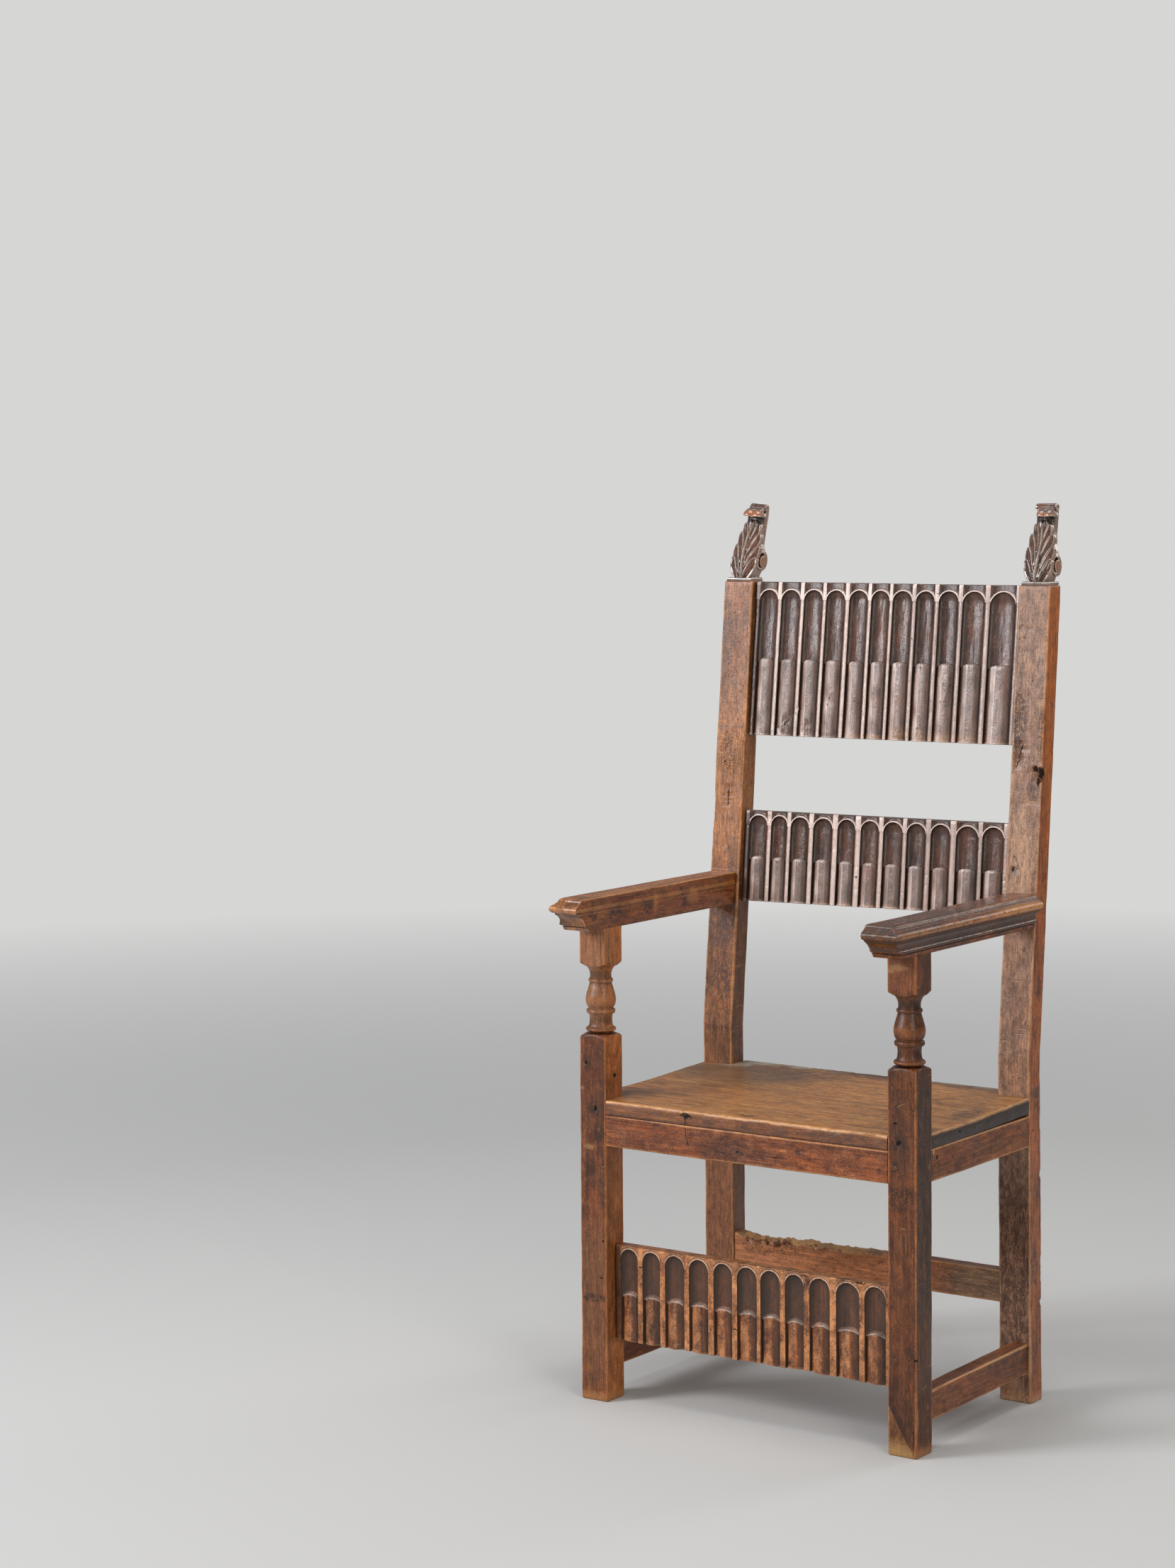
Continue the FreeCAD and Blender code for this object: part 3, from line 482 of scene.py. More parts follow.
def rubbed(t, look, colour):
    """Edges rubbed down to a paler tone, which also paints highlights, fine scratches, golden flecks and dark
    specks.
    """
    chosen = look.grit * 0.6 + look.cloud * 0.8
    # The wear mark carries rubbed edges and also painted highlights: the cables' lit facets, the ribs' sheen
    # and the finials' ridges.
    rub_and_highlight = t.attribute("wear_and_highlight") * t.fit(chosen, 0.52, 0.82, look.patchy, 1.0)
    colour = t.mix(rub_and_highlight * 0.88, colour, look.edge)
    scratch = t.noise(t.mapped(look.here, (800, 26, 520), look.offset, (0.5, 0.9, 0.4)), 1.0, 0.4)
    colour = t.mix(t.fit(scratch, 0.71, 0.76) * t.fit(look.large, 0.40, 0.6, 0.4, 0.1), colour, look.edge)
    if look.flecks:
        gold = t.fit(look.grit * 0.6 + look.mottle * 0.4, 0.54, 0.62)
        gold = gold * t.fit(look.other, 0.38, 0.58, look.flecks * 0.25, look.flecks)
        gold = gold * t.fit(t.attribute("grime"), 0.2, 0.5, 1.0, 0.15)
        colour = t.mix(gold, colour, look.edge)
    return t.mix(t.fit(1.0 - look.grit, 0.60, 0.68) * 0.45, colour, look.grime)


def shaken(t, here):
    """Places a little out of true, so that holes get ragged edges."""
    swirl = t.node("TexNoise", out="Color", inputs={"Vector": here, "Scale": 260.0, "Detail": 2.0})
    swirl = t.node("VectorMath", operation="SUBTRACT", inputs={0: swirl, 1: (0.5, 0.5, 0.5)})
    swirl = t.node("VectorMath", operation="SCALE", inputs={0: swirl, "Scale": 0.006})
    return t.node("VectorMath", operation="ADD", inputs={0: here, 1: swirl})


def hollows(t, look, colour, height):
    """Pinpricks, worm tunnels and holes: the colour, the height, and where the tunnels and holes are."""
    def sunk(mask, strength, tone, deep):
        return t.mix(mask * strength, colour, tone), height - mask * deep

    if look.pits:
        cells = {"Vector": t.mapped(look.here, along_scale(look.axis, 1.0, 0.7)), "Scale": 150.0}
        pick = t.node("SeparateColor", inputs={0: t.node("TexVoronoi", out="Color", inputs=cells)})
        near = t.fit(t.node("TexVoronoi", out="Distance", inputs=cells), 0.10, 0.17, 1.0, 0.0)
        prick = t.math("GREATER_THAN", pick, 1.0 - look.pits) * near
        colour, height = sunk(prick, 0.85, rgb(26, 18, 15), 2.0)
    pit = None
    if look.worm:
        tunnel = field(t, look, 520, 260, 2.0, 0.6, 1.6)
        pit = t.fit(masks(t, shaken(t, look.here), look.worm), 0.02, 0.6) * t.fit(tunnel, 0.545, 0.61)
        colour, height = sunk(pit, 0.9, rgb(34, 24, 20), 2.6)
    if look.holes:
        hole = t.fit(masks(t, shaken(t, look.here), look.holes), 0.02, 0.35)
        colour, height = sunk(hole, 0.95, rgb(18, 13, 12), 3.0)
        pit = hole if pit is None else t.math("MAXIMUM", pit, hole)
    return colour, height, pit


def wood(name, axis, tones, edge, seed, **settings):
    """Old waxed walnut: fibres and bands along the grain, stains, rubbed edges, pits, dirt and marks, and
    painted light and shade.
    """
    material = bpy.data.materials.new(name)
    t = Tree(material)
    look = SimpleNamespace(axis=axis, tones=tones, edge=edge, **{**USUAL, **settings})
    look.here = t.node("TexCoord", out="Object")
    look.offset = (seed * 1.37, seed * 2.11, seed * 0.73)
    for key, row in FIELDS.items():
        setattr(look, key, field(t, look, *row))
    look.speck = (look.grit - 0.5) * 0.42
    colour = facing_light_and_washes(t, look, body_colour(t, look))
    for key, strength, stops in GRAIN:
        colour = t.mix(getattr(look, strength), colour, t.ramp(getattr(look, key), stops), "MULTIPLY")
    colour = marked(t, look, t.mix(1.0, colour, look.tinge, "MULTIPLY"))
    pore = t.fit(look.pores, 0.60, 0.72)
    colour = rubbed(t, look, t.mix(pore * 0.35, colour, look.grime))
    # The grime mark carries dirt and also painted shade: in the flutes, the gullies beside the cables and the
    # finials' hollows.
    dirt_and_shade = t.attribute("grime") * t.fit(look.cloud, 0.25, 0.7, 0.78, 1.0)
    colour = t.mix(dirt_and_shade, colour, look.grime)
    height = look.fibre * 0.35 + look.streak * 0.5 - pore * 0.2 + look.grit * 0.45 + look.cloud * 1.1
    colour, height, pit = hollows(t, look, colour, height)
    powder = t.attribute("dust") * t.fit(look.grit + look.cloud, 0.8, 1.15, 0.3, 1.0)
    colour = t.mix(powder, colour, look.dust)
    dull = t.fit(look.large, 0.35, 0.65, *look.rough) + (look.grit - 0.5) * 0.25
    dull = t.math("MAXIMUM", dull, dirt_and_shade * 0.62)
    dull = t.math("MAXIMUM", dull, powder * 0.9)
    foul = dirt_and_shade
    if pit is not None:
        dull = t.math("MAXIMUM", dull, pit)
        foul = t.math("MAXIMUM", dirt_and_shade, pit)
    shine = (1.0 - t.math("MINIMUM", foul, 1.0)) * look.coat
    normal = t.node("Bump", inputs={"Strength": 0.5 * look.bump, "Distance": 0.0009, "Height": height})
    t.finish("OutputMaterial", t.node("BsdfPrincipled", inputs={
        "Base Color": colour, "Roughness": dull, "Normal": normal, "Coat Weight": shine,
        "Coat Roughness": look.coat_rough, "Coat Normal": normal, "Specular IOR Level": look.gloss}))
    return material


RUBBED = rgb(190, 118, 64)


def on_rear(x, z, *rest):
    """A mark on the rear posts' front faces: its centre, then its half sizes and what else it has."""
    return (x, float(rear_face(z)), z, *rest)


front_marks = dict(flecks=0.35, stain=rgb(44, 28, 22), stained=0.7, coat=0.1, tint_patch=0.5,
    holes=[(268, 0, 460, 4.5, 6, 5.5), (258, 0, 544, 1.6, 3, 1.6), (-268, 0, 455, 4, 6, 5),
        (-285, 0, 525, 3.2, 5, 3.6), (-258, 0, 193, 4, 4, 1.8), (-255, 0, 250, 2.4, 4, 3),
        (296, 0, 145, 5, 7, 2.6), (262, 0, 488, 4, 4, 2), (291.5, 0, 28, 0.7, 9, 32),
        (297, 30, 459, 3, 1.6, 1.6), (-249, 25, 505, 4, 5, 4)],
    dark=[(268, 0, 456, 15, 14, 20), (262, 0, 421, 12, 12, 13), (-268, 0, 455, 15, 14, 16),
        (-260, 0, 418, 13, 12, 16), (-285, 0, 525, 12, 12, 14), (262, 0, 50, 16, 10, 32, (0, -0.53, 0)),
        (266, 0, 380, 40, 10, 26), (-275, 0, 160, 34, 10, 9), (264, 0, 514, 4, 8, 14),
        (297, 25, 330, 12, 44, 180), (297, 20, 500, 10, 44, 80)],
    pale=[(297, 39, 421, 6, 5, 9), (-280, 0, 395, 16, 5, 6), (-293, 0, 485, 6, 5, 4),
        (275, 0, 335, 8, 3, 1.6), (271, 0, 318, 1.0, 3, 22), (279.5, 0, 312, 1.0, 3, 26),
        (271, 0, 515, 11, 3, 1.2, (0, -0.5, 0)), (-253, 0, 367, 8, 3, 1.2, (0, -0.6, 0)),
        (297, 33, 70, 4, 4, 6), (297, 24, 101, 4, 9, 2.0, (0.5, 0, 0)), (297, 3, 60, 5, 4, 26),
        (268, 0, 715, 24, 6, 7), (255, 0, 710, 10, 8, 6), (-262, 0, 222, 5, 3, 1.6, (0, -0.5, 0)),
        (-273, 20, 4, 60, 60, 15), (273, 20, 4, 60, 60, 13)],
    pale_tone=rgb(158, 120, 74))
# The right front post: a darker tone and streaks on its right-facing faces are painted shade.
frame_z = wood("front_post_walnut_right", "z", (rgb(54, 33, 23), rgb(90, 55, 35), rgb(118, 75, 48)), RUBBED,
    1, warm=rgb(126, 70, 36), warmed=0.45, side=rgb(70, 41, 22), sided=0.85, side_dark=0.55,
    washes=[([(273, 0, 705, 60, 30, 36)], rgb(132, 82, 58), 0.6),
        ([(297, 20, 250, 8, 44, 170)], rgb(96, 66, 44), 0.5)],
    **front_marks)
# The left front post: a paler orange tone on its right-facing faces is painted light.
frame_left = wood("front_post_walnut_left", "z", (rgb(62, 37, 25), rgb(100, 60, 38), rgb(132, 82, 51)),
    RUBBED, 21, warm=rgb(142, 80, 42), warmed=0.45, side=rgb(204, 134, 76), sided=0.85, side_dark=0.2,
    washes=[([(-273, 0, 705, 60, 40, 50), (-273, 23, 625, 60, 60, 60)], rgb(160, 119, 93), 0.75),
        ([(-273, 0, 150, 60, 30, 170)], rgb(130, 92, 66), 0.6),
        ([(-273, 0, 500, 60, 10, 80)], rgb(92, 52, 32), 0.5)],
    **front_marks)
rear_marks = dict(stain=rgb(72, 47, 38), stained=0.55, warmed=0.5, coat=0.25, pits=0.05, flecks=0.25,
    worm=[on_rear(253, 1050, 13, 10, 62), on_rear(292, 1030, 7, 10, 34), on_rear(246, 1150, 4, 8, 50),
        on_rear(-270, 975, 24, 8, 50), on_rear(297, 1050, 4, 8, 90)],
    holes=[on_rear(294, 968, 7, 12, 12), on_rear(285, 974, 5, 8, 6), on_rear(291, 955, 3, 8, 8),
        on_rear(-270, 908, 1.2, 8, 20), on_rear(255, 820, 3.0, 5, 4.2),
        on_rear(259, 1002, 1.7, 8, 15, (0, 0.35, 0)), on_rear(254, 984, 1.6, 8, 12, (0, 0.5, 0)),
        on_rear(-258, 1030, 1.2, 8, 1.2), on_rear(-279, 962, 1.4, 8, 1.4), on_rear(-262, 948, 1.1, 8, 1.6),
        on_rear(-284, 990, 1.0, 8, 1.0)],
    dark=[on_rear(255, 1045, 16, 12, 80), on_rear(-262, 820, 7, 8, 8), (297, 420, 1068, 8, 8, 9),
        on_rear(280, 700, 7, 8, 5), on_rear(256, 818, 8, 8, 10), on_rear(285, 945, 16, 20, 24),
        (297, 372, 480, 6, 30, 12), (297, 380, 640, 6, 12, 26), (297, 366, 575, 5, 9, 34),
        # The two dark patches on the left rear post's front just under the arm, at z 712 and 700, are a
        # painted shadow of the arm.
        on_rear(-270, 712, 60, 16, 66), on_rear(-252, 700, 14, 30, 40), on_rear(-262, 610, 16, 12, 50),
        on_rear(0, 1233.5, 400, 3, 0.9), on_rear(270, 1082, 60, 3, 0.9), on_rear(-270, 1018, 60, 3, 1.0),
        on_rear(-270, 1150, 60, 3, 0.7), on_rear(0, 536.5, 400, 4, 1.4), on_rear(282, 580, 16, 3, 0.8),
        on_rear(280, 572, 18, 3, 0.8), on_rear(270, 652, 24, 3, 0.7), on_rear(254, 560, 12, 3, 0.8),
        on_rear(-253, 551, 7, 3, 0.8), on_rear(254, 545, 12, 3, 0.8), (262, 350, 215, 60, 16, 215),
        (297, 364, 215, 6, 18, 46), (297, 376, 330, 6, 12, 40)],
    pale=[on_rear(-267, 880, 3, 4, 7), on_rear(283, 924, 15, 4, 1.4), on_rear(282, 578, 14, 3, 0.6),
        on_rear(280, 570, 15, 3, 0.6), on_rear(268, 650, 18, 3, 0.5), on_rear(254, 558, 8, 3, 0.6),
        on_rear(-283, 1205, 0.7, 3, 14, (0, 0.6, 0)), on_rear(-277, 1196, 0.7, 3, 18, (0, 0.7, 0)),
        on_rear(-285, 787.5, 60, 4, 1.3), (0, 370, 5, 400, 60, 12)])
# The left rear post: a darker tone and streaks on its right-facing faces are painted shade from the crest
# panel.
rear_left = wood("rear_post_walnut_left", "z", (rgb(84, 54, 35), rgb(122, 82, 53), rgb(152, 106, 70)),
    rgb(210, 150, 98), 4, warm=rgb(158, 98, 50), side=rgb(94, 58, 36), sided=0.75, tint_patch=0.4,
    side_dark=0.4, streaks=0.5, mottled=0.85,
    washes=[([(-270, 395, 920, 60, 60, 190)], rgb(178, 126, 82), 0.6),
        ([(-270, 350, 230, 60, 60, 220)], rgb(148, 100, 72), 0.6)],
    pale_tone=rgb(176, 140, 108), **rear_marks)
# The right rear post: a warm orange tone on its right-facing faces is painted light, with dark streaks that
# are part stain, part painted shade; a grey-mauve tone on its forward faces and the first wash up its front
# face are a painted sheen.
rear_right = wood("rear_post_walnut_right", "z", (rgb(84, 52, 38), rgb(124, 84, 64), rgb(150, 110, 90)),
    rgb(208, 158, 116), 14, warm=rgb(148, 92, 58), side=rgb(178, 100, 38), sided=0.9, tint_patch=0.3,
    side_dark=0.9, front=rgb(156, 134, 126), fronted=0.8, streaks=0.42, mottled=0.85,
    washes=[([on_rear(268, 830, 24, 12, 300)], rgb(192, 164, 148), 0.6),
        ([(297, 430, 1090, 5, 60, 330)], rgb(198, 118, 50), 0.6)],
    pale_tone=rgb(206, 178, 150), **rear_marks)
# The first wash lightens the rear stretcher's left part: painted light.
frame_x = wood("rail_walnut", "x", (rgb(86, 46, 28), rgb(124, 70, 42), rgb(150, 92, 56)), rgb(204, 140, 82),
    2, flecks=0.18, coat=0.15, mottled=0.9, micro=1.0, dust=rgb(204, 158, 102), pits=0.05,
    warm=rgb(160, 90, 46), warmed=0.6, stain=rgb(60, 36, 28), stained=0.6,
    washes=[([(-120, 350, 176, 340, 16, 60)], rgb(198, 140, 104), 0.85),
        ([(225, 350, 176, 110, 30, 60)], rgb(128, 110, 98), 0.9)],
    worm=[(-226, 0, 441, 24, 8, 8), (-150, 0, 400, 60, 6, 4), (-170, 352, 186, 80, 40, 22)],
    holes=[(-100.3, 0, 428, 0.9, 6, 21, (0, -0.18, 0)), (-9.7, 0, 416.4, 4, 3, 1.6),
        (52, 0, 415, 16, 3, 0.8)],
    dark=[(-8, 0, 417, 18, 4, 7), (100, 0, 428, 14, 4, 8), (-150, 0, 440, 20, 4, 5)])
# The pale line along the right side stretcher's top outer arris is a painted highlight.
frame_y = wood("side_rail_walnut", "y", (rgb(84, 50, 32), rgb(124, 78, 48), rgb(154, 101, 64)),
    rgb(212, 150, 92), 3, flecks=0.18, side_dark=0.3, coat=0.1, mottled=0.9, micro=1.0, pits=0.03,
    warm=rgb(146, 84, 48), warmed=0.5, stain=rgb(60, 42, 36), stained=0.5,
    holes=[(297, 62, 432, 4, 4, 4.5), (297, 110, 425, 3, 2, 2)],
    pale=[(297, 52, 441, 4, 3, 7), (292, 200, 91, 3.5, 240, 3.2), (297, 200, 446, 3, 200, 2.5)],
    pale_tone=rgb(222, 186, 146))
# The carved back panels' pale pinkish edge tone paints rubbed wear and also the ribs' sheen and the cables'
# lit facets.
panel = wood("carved_walnut_back", "z", (rgb(58, 38, 30), rgb(92, 64, 52), rgb(122, 90, 76)),
    rgb(232, 208, 196), 5, rough=(0.26, 0.40), stain=rgb(46, 34, 32), stained=0.5, warm=rgb(124, 72, 44),
    warmed=0.5, pits=0.02, coat=0.45, grime=rgb(27, 20, 18), coat_rough=0.24, patchy=0.75, micro=0.5,
    streaks=0.5, tinge=(1, 1, 1, 1), gloss=0.5,
    worm=[on_rear(-168, 1024, 22, 14, 22), on_rear(-133, 1024, 12, 14, 22), on_rear(-204, 1013, 12, 14, 11),
        on_rear(-90, 1010, 40, 14, 7), on_rear(70, 1022, 60, 14, 16), on_rear(-153, 1030, 8, 14, 30)],
    holes=[on_rear(-95, 1060, 2, 12, 1.6), on_rear(-91, 1069, 2, 12, 1.3), on_rear(-46, 1066, 2.6, 12, 1.6),
        on_rear(-51, 1053, 1.8, 12, 1.4), on_rear(-30, 1051, 2.2, 12, 1.6), on_rear(110, 1070, 2, 12, 1.4),
        on_rear(117, 1071, 3, 12, 1.6), on_rear(132, 1071, 3, 12, 2), on_rear(92, 1071, 1.6, 12, 1.6),
        on_rear(-12, 1079, 1.2, 12, 1.2), on_rear(36, 1247, 2.4, 12, 1.4), on_rear(-27, 789, 5, 12, 3),
        on_rear(-167, 1033, 1.6, 14, 26, (0, 0.75, 0)), on_rear(97, 1239, 5, 12, 1.3)],
    pale=[on_rear(-10, 1011, 120, 20, 8), on_rear(120, 1010, 150, 20, 22), on_rear(50, 1020, 50, 20, 20),
        on_rear(20, 743, 190, 20, 11)],
    pale_tone=rgb(178, 128, 78))
# The front stretcher's edge tone paints rubbed wear and also the lit left sides of its cables.
panel_low = wood("carved_walnut_front", "z", (rgb(72, 44, 30), rgb(112, 68, 42), rgb(144, 90, 54)),
    rgb(228, 156, 100), 15, rough=(0.30, 0.50), stain=rgb(52, 38, 33), stained=0.7, warm=rgb(146, 80, 40),
    warmed=0.5, flecks=0.6, streaks=0.5, grime=rgb(68, 56, 48), dust=rgb(222, 212, 200), pits=0.06,
    patchy=0.0, tinge=(1.04, 0.97, 0.86, 1), coat=0.25, micro=1.0, mottled=1.0,
    holes=[(-29, 20, 141, 4, 8, 1.6), (66, 20, 103, 2.4, 8, 2.6), (-100, 20, 213, 5, 8, 1.0),
        (-200, 20, 213, 5, 8, 1.2), (190, 20, 241, 14, 8, 1.4), (95, 20, 239, 9, 8, 1.2)])
# The seat board: a darker tone on its front edge and a near-black one on its right end are painted shade.
seat_wood = wood("seat_walnut_board", "x", (rgb(130, 85, 47), rgb(176, 124, 73), rgb(208, 159, 100)),
    rgb(216, 158, 102), 6, rough=(0.28, 0.44), pits=0.07, stain=rgb(84, 50, 30), stained=0.55,
    warm=rgb(176, 116, 56), warmed=0.5, dust=rgb(158, 150, 136), grime=rgb(46, 36, 32), coat=0.35,
    coat_rough=0.32, front=rgb(118, 68, 38), fronted=1.0, side=rgb(38, 27, 19), sided=0.97, grain=(150, 8),
    streaks=0.5, mottled=0.75, tinge=(1.04, 0.98, 0.76, 1), gloss=0.45,
    holes=[(-15, 21, 470, 8, 3, 5), (2, 17.5, 470, 13, 1.1, 3), (-40, 26, 470, 1.5, 1.5, 4),
        (-120, 140, 470, 3, 1, 3), (-101.5, 0, 460, 5.5, 5, 4), (-97, 0, 462, 9, 5, 2, (0, 0.5, 0)),
        (-107, 0, 463, 6, 5, 1.6, (0, -0.6, 0)), (95, 170, 470, 4, 1, 3), (-103, 0, 452, 1.0, 5, 9),
        (297, 130, 459, 3, 4, 2.4)],
    washes=[([(-190, 300, 472, 150, 110, 12)], rgb(108, 80, 56), 0.8)],
    dark=[(-252, 100, 470, 44, 40, 10), (-120, 330, 472, 150, 50, 12), (2, 20, 470, 16, 9, 6),
        (-10, 372, 474, 110, 26, 14), (190, 372, 474, 70, 30, 14), (270, 200, 472, 26, 70, 10),
        (-101, 0, 460, 14, 8, 8), (-60, 0, 455, 18, 6, 5), (61, 0, 454, 22, 6, 8),
        (180, 0, 456, 90, 6, 11)],
    pale=[(-12, 25, 470, 15, 5, 4)], pale_tone=rgb(222, 176, 118))
# On the right arm: the pale patch on the torus's rear end is a painted highlight, and the last dark patch,
# over the front end, a painted shade.
arm_marks = dict(rough=(0.20, 0.36), stain=rgb(40, 26, 20), stained=0.6, flecks=0.3, tint_patch=0.6,
    grime=rgb(34, 24, 19), coat=0.3, mottled=0.9, gloss=0.45, side_dark=0.35, coat_rough=0.24, pits=0.03,
    pale=[(-262, 60, 784, 20, 130, 8), (306, 310, 772, 12, 110, 10), (-249, 248, 758, 4, 24, 16),
        (309, 60, 752, 4, 8, 3), (-250, 140, 760, 3, 10, 26)],
    pale_tone=rgb(176, 116, 62),
    dark=[(-249, 120, 758, 5, 20, 20), (-249, 214, 770, 5, 5, 14, (0.4, 0, 0)), (-249, 222, 752, 5, 7, 12),
        (-249, 30, 756, 5, 26, 18), (-249, -30, 762, 5, 14, 14), (280, 60, 784.5, 40, 210, 6),
        (285, -76, 758, 60, 16, 40)])
# The right arm: a warmer tone on its right-facing faces is painted light, a near-black tone on its front end
# painted shade, and the golden first wash on the torus's rear end a painted highlight.
arm_wood = wood("arm_walnut_right", "y", (rgb(54, 30, 18), rgb(94, 54, 30), rgb(132, 80, 44)),
    rgb(226, 158, 86), 7, warm=rgb(146, 80, 36), warmed=0.55, side=rgb(128, 68, 30), sided=0.5,
    front=rgb(46, 25, 15), fronted=0.95,
    washes=[([(306, 320, 768, 14, 130, 12)], rgb(212, 144, 74), 0.7),
        ([(302, 120, 752, 12, 240, 9)], rgb(70, 34, 24), 0.7)],
    holes=[(309, 246, 771, 3, 1.7, 1.5), (309, 268, 770, 3, 1.5, 1.3), (309, 290, 766, 3, 1.6, 1.2),
        (309, 330, 768, 3, 1.5, 1.4), (309, 120, 767, 3, 2.4, 0.9)],
    **arm_marks)
# The left arm: a darker tone on its inner, right-facing faces is painted shade.
arm_left = wood("arm_walnut_left", "y", (rgb(108, 70, 44), rgb(166, 112, 70), rgb(206, 146, 92)),
    rgb(222, 158, 92), 27, warm=rgb(172, 106, 54), warmed=0.5, side=rgb(106, 47, 14), sided=0.8,
    **arm_marks)
# The finials: a paler tone on right-facing faces is painted light, and the silvery edge tone paints the
# highlights on their ridges.
leaf_wood = wood("carved_walnut_leaf", "z", (rgb(54, 34, 27), rgb(84, 58, 47), rgb(110, 82, 68)),
    rgb(208, 190, 176), 11, rough=(0.16, 0.26), stain=rgb(46, 31, 27), stained=0.4, warm=rgb(112, 66, 46),
    warmed=0.6, bump=0.3, tinge=(1, 1, 1, 1), gloss=0.5, grime=rgb(26, 19, 17), coat=0.8, coat_rough=0.12,
    side=rgb(186, 158, 142), sided=0.8,
    pale=[(-259, 440, 1362, 34, 20, 13), (273, 440, 1360, 26, 12, 9), (-246, 450, 1287, 8, 11, 14),
        (290, 450, 1285, 7, 10, 12), (292, 446, 1310, 3, 10, 12)],
    pale_tone=rgb(180, 100, 40))
patch_wood = wood("repair_walnut_splice", "z", (rgb(84, 52, 32), rgb(116, 76, 46), rgb(138, 96, 58)),
    rgb(184, 140, 88), 8, stain=rgb(76, 52, 34), stained=0.5, flecks=0.5, coat=0.1, rough=(0.42, 0.6),
    pits=0.06, pale=[(262, 20, 0, 60, 60, 38)], pale_tone=rgb(172, 134, 82))
peg_front = wood("peg_walnut_front", "y", (rgb(60, 36, 25), rgb(92, 54, 35), rgb(116, 70, 45)), RUBBED, 9)
peg_rear = wood("peg_walnut_rear", "y", (rgb(84, 62, 52), rgb(106, 82, 72), rgb(126, 100, 88)),
    rgb(170, 136, 112), 10)

# Front posts

# The baluster from its foot up: shares of its height, and of half the post's depth
TURNING = [(0.000, 0.66), (0.012, 0.70), (0.030, 0.72), (0.036, 0.92), (0.046, 0.98), (0.062, 1.00),
    (0.078, 0.98), (0.088, 0.92), (0.094, 0.84), (0.112, 0.80), (0.130, 0.775), (0.160, 0.755),
    (0.200, 0.74), (0.240, 0.745), (0.270, 0.77), (0.288, 0.80), (0.294, 0.90), (0.306, 0.94),
    (0.328, 0.96), (0.350, 0.94), (0.360, 0.90), (0.366, 0.83), (0.384, 0.83), (0.392, 0.88), (0.420, 0.94),
    (0.455, 0.985), (0.495, 1.00), (0.535, 0.985), (0.575, 0.95), (0.620, 0.895), (0.665, 0.835),
    (0.705, 0.78), (0.738, 0.74), (0.752, 0.73), (0.758, 0.79), (0.768, 0.81), (0.780, 0.815),
    (0.792, 0.81), (0.802, 0.79), (0.808, 0.72), (0.840, 0.70), (0.880, 0.705), (0.915, 0.74),
    (0.945, 0.80), (0.970, 0.87), (0.990, 0.94), (1.000, 0.98)]


def turned_levels():
    """Heights of a front post's rings, and how far out each may reach."""
    half = post_depth / 2
    leg = levels_between(0, square_top - 5, 6, (3.0, 0))
    rows = [(z, 1e6) for z in leg[:-1]] + [(square_top - 5, 36.0), (square_top - 3, 30.0),
        (square_top - 1, 25.2), (square_top, 23.2), (square_top, 20.0)]
    rows += [(square_top + s * turning, r * half) for s, r in TURNING]
    rows += [(block_bottom, 25.0), (block_bottom + 1.5, 27.5), (block_bottom + 3.5, 31.0),
        (block_bottom + 5.5, 36.0)]
    rows += [(z, 1e6) for z in np.linspace(block_bottom + 7, arm_bottom, 12)]
    rows = np.array(rows)
    return rows[:, 0], rows[:, 1]


def front_post(side, seed):
    """A front post, as rings and marks."""
    z, reach = turned_levels()
    z = z + np.arange(len(z)) * 1e-6
    x = side * (half_width + post_inner) / 2
    half = (half_width - post_inner) / 2

    def shape(rings, wear_and_highlight, grime):
        z = rings[..., 2]
        wear_and_highlight = np.maximum(wear_and_highlight, ease(z, 26, 0) * 0.75)
        tuck = ease(z, square_top - 1, square_top + 2) * ease(z, block_bottom + 1, block_bottom - 3)
        radial = np.hypot(rings[..., 0] - x, rings[..., 1] - post_depth / 2)
        grime = np.maximum(grime, tuck * ease(radial, 18.6, 16.6) * 0.55)
        wear_and_highlight = np.maximum(wear_and_highlight, tuck * ease(radial, 22.2, 23.4) * 0.35)
        return rings, wear_and_highlight, grime

    return timber("front_post", "z", z, (x - half, x + half), (0, post_depth), None, None, seed,
        radius=1.4, worn=1.3, ends=(3.0, 0), sides=(9, 9), limit=reach, shape=shape, finish=False)


rings, marks = front_post(-1, 100)
make("leg_front_left", rings.reshape(-1, 3), lofted(rings), frame_left, ["front_post_left"],
    marks)

rings, marks = front_post(1, 200)


def cut_by_plane(name, rings, marks, point, normal, material, nodes, gap):
    """The part of a tube of rings on the far side of a plane, closed where it is cut."""
    made = make(name, rings.reshape(-1, 3), lofted(rings), material, nodes, marks)
    bm = bmesh.new()
    bm.from_mesh(made.data)
    normal = Vector(normal).normalized()
    place = (Vector(point) + Vector((0, shift, 0))) / 1000 + normal * gap / 1000
    cut = bmesh.ops.bisect_plane(bm, geom=bm.verts[:] + bm.edges[:] + bm.faces[:], plane_co=place,
        plane_no=normal, clear_inner=True)
    edges = [g for g in cut["geom_cut"] if isinstance(g, bmesh.types.BMEdge)]
    bmesh.ops.holes_fill(bm, edges=edges)
    bmesh.ops.recalc_face_normals(bm, faces=bm.faces)
    bm.to_mesh(made.data)
    bm.free()
    made.data.set_sharp_from_angle(angle=math.radians(40))
    return made


splice_low, splice_high = (294.0, 0, 0), (249.0, 0, 75.0)
splice_normal = Vector((splice_high[2], 0, splice_low[0] - splice_high[0]))
cut_by_plane("leg_front_right", rings, marks, splice_low, splice_normal, frame_z,
             ["front_post_right"], 0.12)
cut_by_plane("foot_repair", rings, marks, splice_low, -splice_normal, patch_wood,
    ["foot_splice"], 0.12)

# Rear posts


